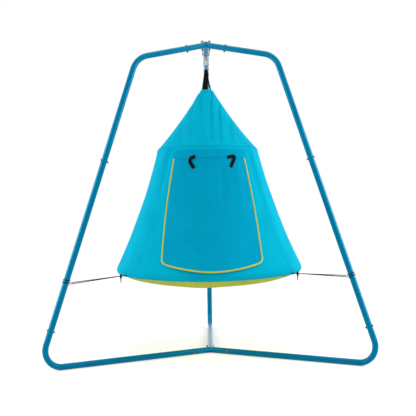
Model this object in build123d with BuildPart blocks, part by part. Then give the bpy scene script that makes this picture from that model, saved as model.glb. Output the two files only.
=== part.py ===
"""Hanging den on a three-legged tube stand.

The frame is the stand's own: the origin is on the ground under the hubs, +Z is up, the den's door faces -Y
and the stand's third leg is behind it, at +Y. Millimetres and degrees.
"""

import os
from math import cos, degrees, radians, sin, sqrt

from build123d import *

# Stand tube and its push-together joints
TUBE_DIAMETER = 38.0
TUBE_WALL = 1.5
SPIGOT_CLEARANCE = 0.25
SPIGOT_LENGTH = 55.0
SPIGOT_SHOULDER = 5.0
BOLT_INSET = 20.0

# Line of one leg, as reach from the middle axis and height above the ground
LEG_ANGLES = {"left": 210.0, "right": 330.0, "back": 90.0}
HUB_HEIGHT = 2056.0
TOP_CORNER_REACH = 510.0
TOP_CORNER_DROP = 126.0
FOOT_CORNER_REACH = 1180.0
TOP_BEND_RADIUS = 145.0
FOOT_BEND_RADIUS = 104.0
HUB_ARM_LENGTH = 170.0
BASE_ARM_LENGTH = 158.0
MID_JOINT_HEIGHT = 1248.0
LOW_JOINT_HEIGHT = 221.0
HUB_CORE = 16.0

# Joint bolts
BOLT_DIAMETER = 6.0
BOLT_CLEARANCE = 0.3
BOLT_HEAD_DIAMETER = 12.5
BOLT_HEAD_HEIGHT = 4.0
BOLT_HEAD_TAPER_ANGLE = 25.0
BOLT_TIP = 6.5
NUT_ACROSS_FLATS = 10.0
NUT_HEIGHT = 5.0
NUT_CAP_HEIGHT = 3.5
NUT_CAP_TAPER_ANGLE = 20.0
NUT_THREAD_CLEARANCE = 0.1
WASHER_DIAMETER = 15.0
WASHER_THICKNESS = 1.4

# U-bolt under the top hub
U_WIRE = 8.0
U_HALF_WIDTH = 24.0
U_BAR_DROP = 77.0
U_HOLE_CLEARANCE = 0.4
U_PLATE_THICKNESS = 3.0
U_PLATE_WIDTH = 20.0
U_PLATE_MARGIN = 13.0
U_PLATE_CORNER_RADIUS = 5.0
U_NUT_ACROSS_FLATS = 13.0
U_NUT_HEIGHT = 6.5
U_LOWER_NUT_DROP = 9.0
U_TIP = 2.5

# Swivel snap hook
EYE_WIRE = 6.0
EYE_HALF_WIDTH = 14.0
EYE_TURN_ANGLE = 40.0
EYE_SEAT_CLEARANCE = 0.2
COLLAR_DROP = 43.0
COLLAR_DIAMETER = 18.0
COLLAR_LENGTH = 11.0
STEM_DIAMETER = 8.0
STEM_CLEARANCE = 0.05
STEM_HEAD_DIAMETER = 12.5
STEM_HEAD_LENGTH = 4.0
SWIVEL_END_PLAY = 0.1
HOOK_WIRE = 8.0
HOOK_HALF_WIDTH = 15.0
HOOK_SHOULDER_DROP = 17.0
HOOK_BAR_DROP = 54.0
HOOK_CORNER_RADIUS = 8.0
HOOK_NOSE_RISE = 18.0
HOOK_HEAD_LENGTH = 14.0
GATE_DIAMETER = 6.6
GATE_LUG_DIAMETER = 9.0
GATE_LUG_WIDTH = 3.4
GATE_CHEEK_WIDTH = 2.0
GATE_CHEEK_CLEARANCE = 0.15
GATE_PIN_DIAMETER = 3.0
GATE_PIN_CLEARANCE = 0.04
GATE_NOSE_GAP = 0.6

# Den skin: a profile of reach and height on the middle of the fabric
SKIN = 3.0
SKIN_CLEARANCE = 0.3
NECK_REACH = 38.0
NECK_DROP = 100.0
SHOULDER_REACH = 331.0
ROOF_HEIGHT = 399.0
ROOF_HOLLOW = 11.0
ROOF_SEAM_GAP = 1.2
WALL_HEIGHT = 780.0
WALL_FLARE_ANGLE = 26.0
RIM_REACH = 573.0
RIM_PAD_DIAMETER = 73.4
HEM_ANGLE = -95.0
SEAM_ANGLES = {"front": (221.0, 104.0), "right": (325.0, 86.0), "back": (51.0, 84.0), "left": (135.0, 86.0)}

# Hoops
SHOULDER_ROD = 10.0
FERRULE_WALL = 1.3
FERRULE_CLEARANCE = 0.1
FERRULE_ANGLE = 11.0
ROD_END_GAP = 0.5
BASE_HOOP_DIAMETER = 25.0
BASE_HOOP_WALL = 1.5
BASE_HOOP_CLEARANCE = 0.3
BASE_HOOP_SPIGOT_ANGLE = 5.0
BASE_HOOP_SHOULDER_ANGLE = 0.5
BASE_HOOP_SECTIONS = 3
BASE_HOOP_START_ANGLE = 30.0
RIM_PAD_SECTIONS = 3
RIM_PAD_START_ANGLE = 90.0

# Floor and floor mat
FLOOR_THICKNESS = 3.0
FLOOR_SAG = 92.0
FLOOR_RIM_GAP = 1.0
MAT_REACH = 505.0
MAT_EDGE_BULGE = 6.0
MAT_EDGE_THICKNESS = 18.0
MAT_MIDDLE_THICKNESS = 28.0

# Door, as seen square on to its middle
DOOR_ANGLE = 272.2
DOOR_TOP_DROP = 75.0
DOOR_TOP_HALF = 228.0
DOOR_CORNER_RISE = 54.0
DOOR_BOTTOM_HALF = 312.0
DOOR_BOTTOM_DIP = 50.0
DOOR_SIDE_BOW = 10.0
DOOR_CORNER_RADIUS = 26.0
DOORWAY_LAP = 28.0
FLAP = 2.5
FLAP_GAP = 5.0
FLAP_SWEEP_ANGLE = 110.0
FLAP_RIM_ANGLE = 10.0
HEADER_DEPTH = 26.0
HEADER_CLEARANCE = 0.3
BINDING_WIDTH = 12.0
BINDING = 2.5
LAYER_CLEARANCE = 0.2
TIE_WIDTH = 18.0
TIE_LENGTH = 66.0
TIE = 2.0
TIE_PLACES = {"left": -116.0, "right": 134.0}
TIE_ANGLES = {"left": -8.0, "right": 10.0}

# Webbing that carries the den
WEBBING = 2.5
WEBBING_WIDTH = 36.0
STRAP_TOP_WIDTH = 17.0
STRAP_TOP_REACH = 6.6
STRAP_NECK_REACH = 28.0
STRAP_NECK_TURN_ANGLE = 40.0
STRAP_FOOT_GAP = 0.7
HEAD_WIDTH = 20.0
HEAD_WEBBING = 3.2
HEAD_DROP = 31.0
HEAD_BAR_CLEARANCE = 1.8

# Tethers from the rim to the legs
CORD_DIAMETER = 5.0
TETHER_DROP = 27.0
TETHER_LEG_RISE = {"left": -15.0, "right": 4.0, "back": -5.0}
TAB_WIDTH = 20.0
TAB_LENGTH = 30.0
TAB = 3.0
TOGGLE_DIAMETER = 14.0
TOGGLE_LENGTH = 26.0
TOGGLE_EDGE = 3.0
TAIL_LENGTH = 24.0
TAIL_TIP_DIAMETER = 3.0
WINDING_TURNS = 2
WINDING_GAP = 9.5
WINDING_CLEARANCE = 0.4
LEG_RING_WIRE = 3.5
LEG_RING_DIAMETER = 16.0
CORD_SEAT_GAP = 0.3
STRAND_TOGGLE_GAP = 1.8
STRAND_RING_GAP = 3.5

# Heights, from the top hub down
TOP_CORNER_HEIGHT = HUB_HEIGHT - TOP_CORNER_DROP
U_BAR_HEIGHT = HUB_HEIGHT - U_BAR_DROP
COLLAR_HEIGHT = U_BAR_HEIGHT - COLLAR_DROP
HOOK_BAR_HEIGHT = COLLAR_HEIGHT - HOOK_BAR_DROP
HOOK_NOSE_HEIGHT = HOOK_BAR_HEIGHT + HOOK_NOSE_RISE
HEAD_BOTTOM = HOOK_BAR_HEIGHT - HEAD_DROP
NECK_HEIGHT = HEAD_BOTTOM - NECK_DROP
SHOULDER_HEIGHT = NECK_HEIGHT - ROOF_HEIGHT
RIM_HEIGHT = SHOULDER_HEIGHT - WALL_HEIGHT
DOOR_TOP = SHOULDER_HEIGHT - DOOR_TOP_DROP
DOOR_CORNER_HEIGHT = RIM_HEIGHT + DOOR_CORNER_RISE
TETHER_HEIGHT = RIM_HEIGHT - TETHER_DROP

# Other sizes that follow from those above
TUBE_RADIUS = TUBE_DIAMETER / 2
SPIGOT_RADIUS = TUBE_RADIUS - TUBE_WALL - SPIGOT_CLEARANCE
BORE_RADIUS = TUBE_RADIUS - TUBE_WALL
RIM_WRAP = RIM_PAD_DIAMETER / 2 + SKIN_CLEARANCE + SKIN / 2
CORD_RADIUS = CORD_DIAMETER / 2

os.makedirs("parts", exist_ok=True)


def keep(part, name):
    """Label a finished piece and write it to its own file."""
    part.label = name
    export_step(part, f"parts/{name}.step")


def radial_plane(azimuth):
    """Upright plane through the middle axis: local x is the reach, local y the height."""
    turn = radians(azimuth)
    return Plane(origin=(0, 0, 0), x_dir=(cos(turn), sin(turn), 0), z_dir=(sin(turn), -cos(turn), 0))


# Line of one leg in its radial plane
HUB = Vector(0, HUB_HEIGHT)
TOP_CORNER = Vector(TOP_CORNER_REACH, TOP_CORNER_HEIGHT)
FOOT_CORNER = Vector(FOOT_CORNER_REACH, TUBE_RADIUS)
ARM_DIRECTION = (TOP_CORNER - HUB).normalized()
LEG_UP = (TOP_CORNER - FOOT_CORNER).normalized()


def on_leg(height):
    """Point of the straight leg line at a height."""
    return FOOT_CORNER + LEG_UP * ((height - TUBE_RADIUS) / LEG_UP.Y)


HUB_JOINT = HUB + ARM_DIRECTION * HUB_ARM_LENGTH
MID_JOINT = on_leg(MID_JOINT_HEIGHT)
LOW_JOINT = on_leg(LOW_JOINT_HEIGHT)
BASE_JOINT = Vector(BASE_ARM_LENGTH, TUBE_RADIUS)

# Each joint's line, the way its spigot points, and whether its bolt lies across the leg's plane
JOINTS = {
    "hub": (HUB_JOINT, ARM_DIRECTION * -1, False),
    "mid": (MID_JOINT, LEG_UP, False),
    "low": (LOW_JOINT, LEG_UP, False),
    "base": (BASE_JOINT, Vector(-1, 0), True),
}


def joint_plane(azimuth, joint):
    """Plane at a joint's line, facing the way its spigot points."""
    leg = radial_plane(azimuth)
    point, direction, _ = JOINTS[joint]
    start = leg.from_local_coords(point)
    return Plane(origin=start, z_dir=leg.from_local_coords(point + direction) - start)


def bolt_plane(azimuth, joint):
    """Plane through a joint's bolt: its normal is the bolt's line, towards the head."""
    leg = radial_plane(azimuth)
    point, direction, across = JOINTS[joint]
    middle = leg.from_local_coords(point + direction * BOLT_INSET)
    if across:
        return Plane(origin=middle, z_dir=leg.z_dir)
    outward = Vector(direction.Y, -direction.X)
    if outward.Y < 0:
        outward = outward * -1
    return Plane(origin=middle, z_dir=leg.from_local_coords(point + outward) - leg.from_local_coords(point))


def swaged_end(plane):
    """Shoulder and reduced spigot at a tube's end."""
    with BuildPart() as end:
        with BuildSketch(plane):
            Circle(TUBE_RADIUS)
            Circle(SPIGOT_RADIUS - TUBE_WALL, mode=Mode.SUBTRACT)
        extrude(amount=-SPIGOT_SHOULDER)
        with BuildSketch(plane):
            Circle(SPIGOT_RADIUS)
            Circle(SPIGOT_RADIUS - TUBE_WALL, mode=Mode.SUBTRACT)
        extrude(amount=SPIGOT_LENGTH)
    return end.part


def bolt_holes(azimuth, joints):
    """Pins as wide as the bolt holes of some joints of one leg."""
    with BuildPart() as pins:
        for joint in joints:
            with BuildSketch(bolt_plane(azimuth, joint)):
                Circle(BOLT_DIAMETER / 2 + BOLT_CLEARANCE)
            extrude(amount=TUBE_DIAMETER, both=True)
    return pins.part


# Upper bent tubes: a spigot into the top hub, a socket over the leg tube
for side, azimuth in LEG_ANGLES.items():
    spigot = swaged_end(joint_plane(azimuth, "hub"))
    holes = bolt_holes(azimuth, ["hub", "mid"])
    with BuildPart() as upper_tube:
        with BuildLine(radial_plane(azimuth)) as route:
            FilletPolyline(tuple(HUB_JOINT), tuple(TOP_CORNER), tuple(MID_JOINT), radius=TOP_BEND_RADIUS)
        with BuildSketch(Plane(origin=route.line @ 0, z_dir=route.line % 0)):
            Circle(TUBE_RADIUS)
            Circle(BORE_RADIUS, mode=Mode.SUBTRACT)
        sweep()
        add(spigot)
        add(holes, mode=Mode.SUBTRACT)
    keep(upper_tube.part, f"upper_tube_{side}")

# Straight leg tubes: a spigot at the top, a socket at the bottom
for side, azimuth in LEG_ANGLES.items():
    spigot = swaged_end(joint_plane(azimuth, "mid"))
    holes = bolt_holes(azimuth, ["mid", "low"])
    low_end = joint_plane(azimuth, "low")
    with BuildPart() as leg_tube:
        with BuildSketch(low_end):
            Circle(TUBE_RADIUS)
            Circle(BORE_RADIUS, mode=Mode.SUBTRACT)
        extrude(amount=(MID_JOINT - LOW_JOINT).length)
        add(spigot)
        add(holes, mode=Mode.SUBTRACT)
    keep(leg_tube.part, f"leg_tube_{side}")

# Lower bent tubes: a spigot up into the leg tube and one into the base hub
for side, azimuth in LEG_ANGLES.items():
    upper_spigot = swaged_end(joint_plane(azimuth, "low"))
    base_spigot = swaged_end(joint_plane(azimuth, "base"))
    holes = bolt_holes(azimuth, ["low", "base"])
    with BuildPart() as lower_tube:
        with BuildLine(radial_plane(azimuth)) as route:
            FilletPolyline(tuple(LOW_JOINT), tuple(FOOT_CORNER), tuple(BASE_JOINT), radius=FOOT_BEND_RADIUS)
        with BuildSketch(Plane(origin=route.line @ 0, z_dir=route.line % 0)):
            Circle(TUBE_RADIUS)
            Circle(BORE_RADIUS, mode=Mode.SUBTRACT)
        sweep()
        add(upper_spigot)
        add(base_spigot)
        add(holes, mode=Mode.SUBTRACT)
    keep(lower_tube.part, f"lower_tube_{side}")


def welded_hub(centre, joint, arm_length):
    """Three socket arms welded at one centre, each square to its joint's line."""
    with BuildPart() as hub:
        with Locations(centre):
            Sphere(TUBE_RADIUS)
        for azimuth in LEG_ANGLES.values():
            arm = Plane(origin=centre, z_dir=joint_plane(azimuth, joint).z_dir * -1)
            with BuildSketch(arm):
                Circle(TUBE_RADIUS)
            extrude(amount=arm_length)
        for azimuth in LEG_ANGLES.values():
            arm = Plane(origin=centre, z_dir=joint_plane(azimuth, joint).z_dir * -1)
            with BuildSketch(arm.offset(HUB_CORE)):
                Circle(BORE_RADIUS)
            extrude(amount=arm_length - HUB_CORE, mode=Mode.SUBTRACT)
    return hub.part


# Hubs
top_body = welded_hub((0, 0, HUB_HEIGHT), "hub", HUB_ARM_LENGTH)
top_holes = [bolt_holes(azimuth, ["hub"]) for azimuth in LEG_ANGLES.values()]
with BuildPart() as top_hub:
    add(top_body)
    add(top_holes, mode=Mode.SUBTRACT)
    with Locations((-U_HALF_WIDTH, 0, HUB_HEIGHT), (U_HALF_WIDTH, 0, HUB_HEIGHT)):
        Cylinder(U_WIRE / 2 + U_HOLE_CLEARANCE, 2 * TUBE_DIAMETER, mode=Mode.SUBTRACT)
keep(top_hub.part, "top_hub")

base_body = welded_hub((0, 0, TUBE_RADIUS), "base", BASE_ARM_LENGTH)
base_holes = [bolt_holes(azimuth, ["base"]) for azimuth in LEG_ANGLES.values()]
with BuildPart() as base_hub:
    add(base_body)
    add(base_holes, mode=Mode.SUBTRACT)
keep(base_hub.part, "base_hub")

# Bolts, washers and cap nuts of the twelve joints
BOLT_PLANES = [bolt_plane(azimuth, joint) for azimuth in LEG_ANGLES.values() for joint in JOINTS]
WASHER_TOP = TUBE_RADIUS + WASHER_THICKNESS

with BuildPart() as joint_bolts:
    for plane in BOLT_PLANES:
        with BuildSketch(plane.offset(-WASHER_TOP - BOLT_TIP)):
            Circle(BOLT_DIAMETER / 2)
        extrude(amount=2 * WASHER_TOP + BOLT_TIP)
        with BuildSketch(plane.offset(WASHER_TOP)):
            Circle(BOLT_HEAD_DIAMETER / 2)
        extrude(amount=BOLT_HEAD_HEIGHT, taper=BOLT_HEAD_TAPER_ANGLE)
keep(joint_bolts.part, "joint_bolts")

with BuildPart() as joint_washers:
    for plane in BOLT_PLANES:
        for level in (TUBE_RADIUS, -WASHER_TOP):
            with BuildSketch(plane.offset(level)):
                Circle(WASHER_DIAMETER / 2)
                Circle(BOLT_DIAMETER / 2 + BOLT_CLEARANCE, mode=Mode.SUBTRACT)
            extrude(amount=WASHER_THICKNESS)
keep(joint_washers.part, "joint_washers")

with BuildPart() as joint_nuts:
    for plane in BOLT_PLANES:
        seat = plane.offset(-WASHER_TOP)
        with BuildSketch(seat):
            RegularPolygon(NUT_ACROSS_FLATS / 2, 6, major_radius=False)
        extrude(amount=-NUT_HEIGHT)
        with BuildSketch(seat.offset(-NUT_HEIGHT)):
            Circle(NUT_ACROSS_FLATS / 2)
        extrude(amount=-NUT_CAP_HEIGHT, taper=NUT_CAP_TAPER_ANGLE)
        with BuildSketch(seat):
            Circle(BOLT_DIAMETER / 2 + NUT_THREAD_CLEARANCE)
        extrude(amount=-BOLT_TIP - NUT_THREAD_CLEARANCE, mode=Mode.SUBTRACT)
keep(joint_nuts.part, "joint_nuts")

# U-bolt, its saddle plate and its nuts
PLATE_HEIGHT = HUB_HEIGHT + TUBE_RADIUS
UPPER_NUT_HEIGHT = PLATE_HEIGHT + U_PLATE_THICKNESS
LOWER_NUT_HEIGHT = HUB_HEIGHT - TUBE_RADIUS - U_LOWER_NUT_DROP - U_NUT_HEIGHT
U_TOP = UPPER_NUT_HEIGHT + U_NUT_HEIGHT + U_TIP
U_BEND_HEIGHT = U_BAR_HEIGHT + U_HALF_WIDTH

with BuildPart() as u_bolt:
    with BuildLine(Plane.XZ) as route:
        Line((-U_HALF_WIDTH, U_TOP), (-U_HALF_WIDTH, U_BEND_HEIGHT))
        CenterArc((0, U_BEND_HEIGHT), U_HALF_WIDTH, 180, 180)
        Line((U_HALF_WIDTH, U_BEND_HEIGHT), (U_HALF_WIDTH, U_TOP))
    with BuildSketch(Plane(origin=(-U_HALF_WIDTH, 0, U_TOP), z_dir=(0, 0, -1))):
        Circle(U_WIRE / 2)
    sweep()
keep(u_bolt.part, "u_bolt")

with BuildPart() as u_bolt_plate:
    with BuildSketch(Plane.XY.offset(PLATE_HEIGHT)):
        Rectangle(2 * (U_HALF_WIDTH + U_PLATE_MARGIN), U_PLATE_WIDTH)
        with Locations((-U_HALF_WIDTH, 0), (U_HALF_WIDTH, 0)):
            Circle(U_WIRE / 2 + U_HOLE_CLEARANCE, mode=Mode.SUBTRACT)
    extrude(amount=U_PLATE_THICKNESS)
    fillet(u_bolt_plate.edges().filter_by(Axis.Z).group_by(Axis.X)[0], U_PLATE_CORNER_RADIUS)
    fillet(u_bolt_plate.edges().filter_by(Axis.Z).group_by(Axis.X)[-1], U_PLATE_CORNER_RADIUS)
keep(u_bolt_plate.part, "u_bolt_plate")

with BuildPart() as u_bolt_nuts:
    for level in (UPPER_NUT_HEIGHT, LOWER_NUT_HEIGHT):
        with BuildSketch(Plane.XY.offset(level)):
            with Locations((-U_HALF_WIDTH, 0), (U_HALF_WIDTH, 0)):
                RegularPolygon(U_NUT_ACROSS_FLATS / 2, 6, major_radius=False)
                Circle(U_WIRE / 2 + NUT_THREAD_CLEARANCE, mode=Mode.SUBTRACT)
        extrude(amount=U_NUT_HEIGHT)
keep(u_bolt_nuts.part, "u_bolt_nuts")

# Swivel eye: an oval link over the U-bolt's bar, with a collar at its foot
EYE_TOP_BEND = U_BAR_HEIGHT + U_WIRE / 2 + EYE_SEAT_CLEARANCE + EYE_WIRE / 2 - EYE_HALF_WIDTH
EYE_FOOT_BEND = COLLAR_HEIGHT + COLLAR_LENGTH / 2 + EYE_HALF_WIDTH
eye_plane = radial_plane(LEG_ANGLES["back"] + EYE_TURN_ANGLE)

with BuildPart() as swivel_eye:
    with BuildLine(eye_plane) as route:
        Line((-EYE_HALF_WIDTH, EYE_FOOT_BEND), (-EYE_HALF_WIDTH, EYE_TOP_BEND))
        CenterArc((0, EYE_TOP_BEND), EYE_HALF_WIDTH, 180, -180)
        Line((EYE_HALF_WIDTH, EYE_TOP_BEND), (EYE_HALF_WIDTH, EYE_FOOT_BEND))
        CenterArc((0, EYE_FOOT_BEND), EYE_HALF_WIDTH, 0, -180)
    with BuildSketch(Plane(origin=route.line @ 0, z_dir=(0, 0, 1))):
        Circle(EYE_WIRE / 2)
    sweep()
    with BuildSketch(Plane.XY.offset(COLLAR_HEIGHT)):
        Circle(COLLAR_DIAMETER / 2)
    extrude(amount=COLLAR_LENGTH)
    with BuildSketch(Plane.XY.offset(COLLAR_HEIGHT)):
        Circle(STEM_DIAMETER / 2 + STEM_CLEARANCE)
    extrude(amount=COLLAR_LENGTH + EYE_WIRE, mode=Mode.SUBTRACT)
keep(swivel_eye.part, "swivel_eye")

# Hook body: stem and stem head through the collar, head below it, and the bent hook
STEM_HEAD_HEIGHT = COLLAR_HEIGHT + COLLAR_LENGTH + SWIVEL_END_PLAY
HOOK_HEAD_TOP = COLLAR_HEIGHT - SWIVEL_END_PLAY
HOOK_HEAD_HEIGHT = HOOK_HEAD_TOP - HOOK_HEAD_LENGTH
HOOK_SHOULDER = HOOK_HEAD_TOP - HOOK_SHOULDER_DROP
GATE_PIVOT = Vector(HOOK_HALF_WIDTH, HOOK_SHOULDER)
CHEEK_START = GATE_LUG_WIDTH / 2 + GATE_CHEEK_CLEARANCE
LUG_SWEEP = GATE_LUG_DIAMETER / 2 + GATE_CHEEK_CLEARANCE

with BuildPart() as hook_body:
    with BuildSketch(Plane.XY.offset(HOOK_HEAD_HEIGHT)):
        Circle(COLLAR_DIAMETER / 2)
    extrude(amount=HOOK_HEAD_LENGTH)
    with BuildSketch(Plane.XY.offset(HOOK_HEAD_TOP)):
        Circle(STEM_DIAMETER / 2)
    extrude(amount=STEM_HEAD_HEIGHT - HOOK_HEAD_TOP)
    with BuildSketch(Plane.XY.offset(STEM_HEAD_HEIGHT)):
        Circle(STEM_HEAD_DIAMETER / 2)
    extrude(amount=STEM_HEAD_LENGTH)
    with BuildLine(Plane.XZ) as route:
        FilletPolyline(
            (0, HOOK_HEAD_HEIGHT + HOOK_WIRE / 2),
            (-HOOK_HALF_WIDTH, HOOK_SHOULDER),
            (-HOOK_HALF_WIDTH, HOOK_BAR_HEIGHT),
            (HOOK_HALF_WIDTH, HOOK_BAR_HEIGHT),
            (HOOK_HALF_WIDTH, HOOK_NOSE_HEIGHT),
            radius=[HOOK_WIRE, HOOK_CORNER_RADIUS, HOOK_CORNER_RADIUS],
        )
    with BuildSketch(Plane(origin=route.line @ 0, z_dir=route.line % 0)):
        Circle(HOOK_WIRE / 2)
    sweep()
    with BuildSketch(Plane.XZ):
        with Locations(GATE_PIVOT):
            Circle(GATE_LUG_DIAMETER / 2)
        with BuildLine():
            Polyline(
                (0, HOOK_HEAD_TOP - HOOK_WIRE),
                GATE_PIVOT + (0, GATE_LUG_DIAMETER / 2),
                GATE_PIVOT,
                (0, HOOK_HEAD_HEIGHT),
                close=True,
            )
        make_face()
    extrude(amount=GATE_LUG_WIDTH / 2, both=True)
    with BuildSketch(Plane.XZ):
        with Locations(GATE_PIVOT):
            Circle(GATE_PIN_DIAMETER / 2)
    extrude(amount=GATE_LUG_WIDTH, both=True, mode=Mode.SUBTRACT)
keep(hook_body.part, "hook_body")

with BuildPart() as hook_gate_pin:
    with BuildSketch(Plane.XZ):
        with Locations(GATE_PIVOT):
            Circle(GATE_PIN_DIAMETER / 2)
    extrude(amount=CHEEK_START + GATE_CHEEK_WIDTH, both=True)
keep(hook_gate_pin.part, "hook_gate_pin")

# Gate: a bar with two cheeks beside the lug
with BuildPart() as hook_gate:
    with BuildSketch(Plane.XY.offset(HOOK_NOSE_HEIGHT + GATE_NOSE_GAP)):
        with Locations((HOOK_HALF_WIDTH, 0)):
            Circle(GATE_DIAMETER / 2)
    extrude(amount=HOOK_SHOULDER - HOOK_NOSE_HEIGHT - GATE_NOSE_GAP)
    with BuildSketch(Plane.XZ):
        with Locations(GATE_PIVOT):
            Circle(GATE_LUG_DIAMETER / 2)
    extrude(amount=CHEEK_START + GATE_CHEEK_WIDTH, both=True)
    with BuildSketch(Plane.XZ):
        with Locations(GATE_PIVOT):
            Circle(LUG_SWEEP)
        with Locations(GATE_PIVOT + (0, GATE_LUG_DIAMETER)):
            Rectangle(2 * LUG_SWEEP, 2 * GATE_LUG_DIAMETER)
    extrude(amount=CHEEK_START, both=True, mode=Mode.SUBTRACT)
    with BuildSketch(Plane.XZ):
        with Locations(GATE_PIVOT):
            Circle(GATE_PIN_DIAMETER / 2 + GATE_PIN_CLEARANCE)
    extrude(amount=HOOK_WIRE, both=True, mode=Mode.SUBTRACT)
keep(hook_gate.part, "hook_gate")

# Den profile, as reach and height
FLARE = Vector(sin(radians(WALL_FLARE_ANGLE)), -cos(radians(WALL_FLARE_ANGLE)))
FOOT_NORMAL = Vector(cos(radians(WALL_FLARE_ANGLE)), sin(radians(WALL_FLARE_ANGLE)))
RIM_CENTRE = Vector(RIM_REACH, RIM_HEIGHT)
SHOULDER = Vector(SHOULDER_REACH, SHOULDER_HEIGHT)
NECK = Vector(NECK_REACH, NECK_HEIGHT)
WALL_FOOT = RIM_CENTRE + FOOT_NORMAL * RIM_WRAP
WALL_CHORD = SHOULDER - WALL_FOOT
WALL_BEND_RADIUS = WALL_CHORD.dot(WALL_CHORD) / (2 * WALL_CHORD.dot(FOOT_NORMAL))
WALL_BEND_CENTRE = WALL_FOOT + FOOT_NORMAL * WALL_BEND_RADIUS
SHOULDER_NORMAL = (WALL_BEND_CENTRE - SHOULDER).normalized()


def wall_reach(height, layer):
    """Reach of the wall's line at a height, moved out by a layer's distance."""
    rise = height - WALL_BEND_CENTRE.Y
    return WALL_BEND_CENTRE.X - sqrt((WALL_BEND_RADIUS - layer) ** 2 - rise**2)


def layer_line(layer):
    """Line of the rim's outer side and the wall, moved out by a layer's distance, with its two ends."""
    foot = WALL_FOOT + FOOT_NORMAL * layer
    shoulder = SHOULDER + SHOULDER_NORMAL * layer
    rim = CenterArc(RIM_CENTRE, RIM_WRAP + layer, -FLAP_RIM_ANGLE, FLAP_RIM_ANGLE + WALL_FLARE_ANGLE)
    TangentArc(foot, shoulder, tangent=FLARE * -1)
    return rim @ 0, shoulder


def wall_layer(middle, thickness, start, sweep_angle):
    """Strip of the wall's shape and the rim's outer side, some distance outside the middle of the skin."""
    with BuildPart() as layer:
        with BuildSketch(radial_plane(start)):
            with BuildLine():
                inner_rim, inner_shoulder = layer_line(middle - thickness / 2)
                outer_rim, outer_shoulder = layer_line(middle + thickness / 2)
                Line(inner_rim, outer_rim)
                Line(inner_shoulder, outer_shoulder)
            make_face()
        revolve(axis=Axis.Z, revolution_arc=sweep_angle)
    return layer.part


# Door outline, drawn square on to the door's middle
DOOR_PLANE = Plane(
    origin=(0, 0, 0),
    x_dir=(-sin(radians(DOOR_ANGLE)), cos(radians(DOOR_ANGLE)), 0),
    z_dir=(cos(radians(DOOR_ANGLE)), sin(radians(DOOR_ANGLE)), 0),
)
DOOR_REACH = RIM_REACH + RIM_PAD_DIAMETER


def door_outline(inset=0.0):
    """Outline of the whole flap, or a line beside its two sides and its bottom."""
    middle = (DOOR_TOP + DOOR_CORNER_HEIGHT) / 2
    bulge = (DOOR_TOP_HALF + DOOR_BOTTOM_HALF) / 2 + DOOR_SIDE_BOW - inset
    top_half, bottom_half = DOOR_TOP_HALF - inset, DOOR_BOTTOM_HALF - inset
    corner_height = DOOR_CORNER_HEIGHT + inset
    with BuildSketch(DOOR_PLANE) as outline:
        with BuildLine():
            Line((-top_half, DOOR_TOP), (top_half, DOOR_TOP))
            ThreePointArc((top_half, DOOR_TOP), (bulge, middle), (bottom_half, corner_height))
            ThreePointArc(
                (bottom_half, corner_height),
                (0, corner_height - DOOR_BOTTOM_DIP),
                (-bottom_half, corner_height),
            )
            ThreePointArc((-bottom_half, corner_height), (-bulge, middle), (-top_half, DOOR_TOP))
        make_face()
        corners = outline.vertices().filter_by(lambda v: v.Y < DOOR_TOP - DOOR_CORNER_RADIUS)
        fillet(corners, DOOR_CORNER_RADIUS - inset)
    return outline.sketch


# Doorway: the flap's outline drawn in by its lap
door_face = door_outline()
inner_face = door_outline(BINDING_WIDTH)
with BuildPart() as doorway:
    with BuildSketch(DOOR_PLANE):
        add(door_face)
        offset(amount=-DOORWAY_LAP, kind=Kind.INTERSECTION, mode=Mode.REPLACE)
    extrude(amount=DOOR_REACH)

# Roof and wall panels, sewn at the seams and at the shoulder
for side, (start, sweep_angle) in SEAM_ANGLES.items():
    with BuildPart() as roof:
        with BuildSketch(radial_plane(start)):
            with BuildLine():
                full_line = SagittaArc(NECK, SHOULDER, -ROOF_HOLLOW, mode=Mode.PRIVATE)
                add(full_line.trim(0, 1 - ROOF_SEAM_GAP / full_line.length))
            trace(line_width=SKIN)
        revolve(axis=Axis.Z, revolution_arc=sweep_angle)
    keep(roof.part, f"roof_{side}")

for side, (start, sweep_angle) in SEAM_ANGLES.items():
    with BuildPart() as wall:
        with BuildSketch(radial_plane(start)):
            with BuildLine():
                TangentArc(WALL_FOOT, SHOULDER, tangent=FLARE * -1)
            trace(line_width=SKIN)
        revolve(axis=Axis.Z, revolution_arc=sweep_angle)
        if side == "front":
            add(doorway.part, mode=Mode.SUBTRACT)
    keep(wall.part, f"wall_{side}")

# Rim sleeve: the strip sewn to the foot of the wall, round the padded hoop to the hem
with BuildPart() as rim_sleeve:
    with BuildSketch(radial_plane(0)):
        with BuildLine():
            CenterArc(RIM_CENTRE, RIM_WRAP, WALL_FLARE_ANGLE, HEM_ANGLE - WALL_FLARE_ANGLE)
        trace(line_width=SKIN)
    revolve(axis=Axis.Z, revolution_arc=360)
keep(rim_sleeve.part, "rim_sleeve")

# Shoulder hoop: a sprung rod pressed into the shoulder, its ends in a ferrule
FERRULE_RADIUS = SHOULDER_ROD / 2 + FERRULE_CLEARANCE + FERRULE_WALL
ROOF_CHORD = SHOULDER - NECK
ROOF_END_TURN = degrees(2 * (2 * ROOF_HOLLOW / ROOF_CHORD.length))
ROOF_END = ROOF_CHORD.normalized().rotate(Axis.Z, ROOF_END_TURN)
ROOF_INWARD = Vector(ROOF_END.Y, -ROOF_END.X)
HOOP_WAY = (ROOF_INWARD - SHOULDER_NORMAL).normalized()
HOOP_DEPTH = (FERRULE_RADIUS + SKIN / 2 + SKIN_CLEARANCE) / HOOP_WAY.dot(SHOULDER_NORMAL * -1)
HOOP_CENTRE = SHOULDER + HOOP_WAY * HOOP_DEPTH
HOOP_GAP_ARC = degrees(ROD_END_GAP / HOOP_CENTRE.X)
FERRULE_AZIMUTH = LEG_ANGLES["back"]

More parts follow.
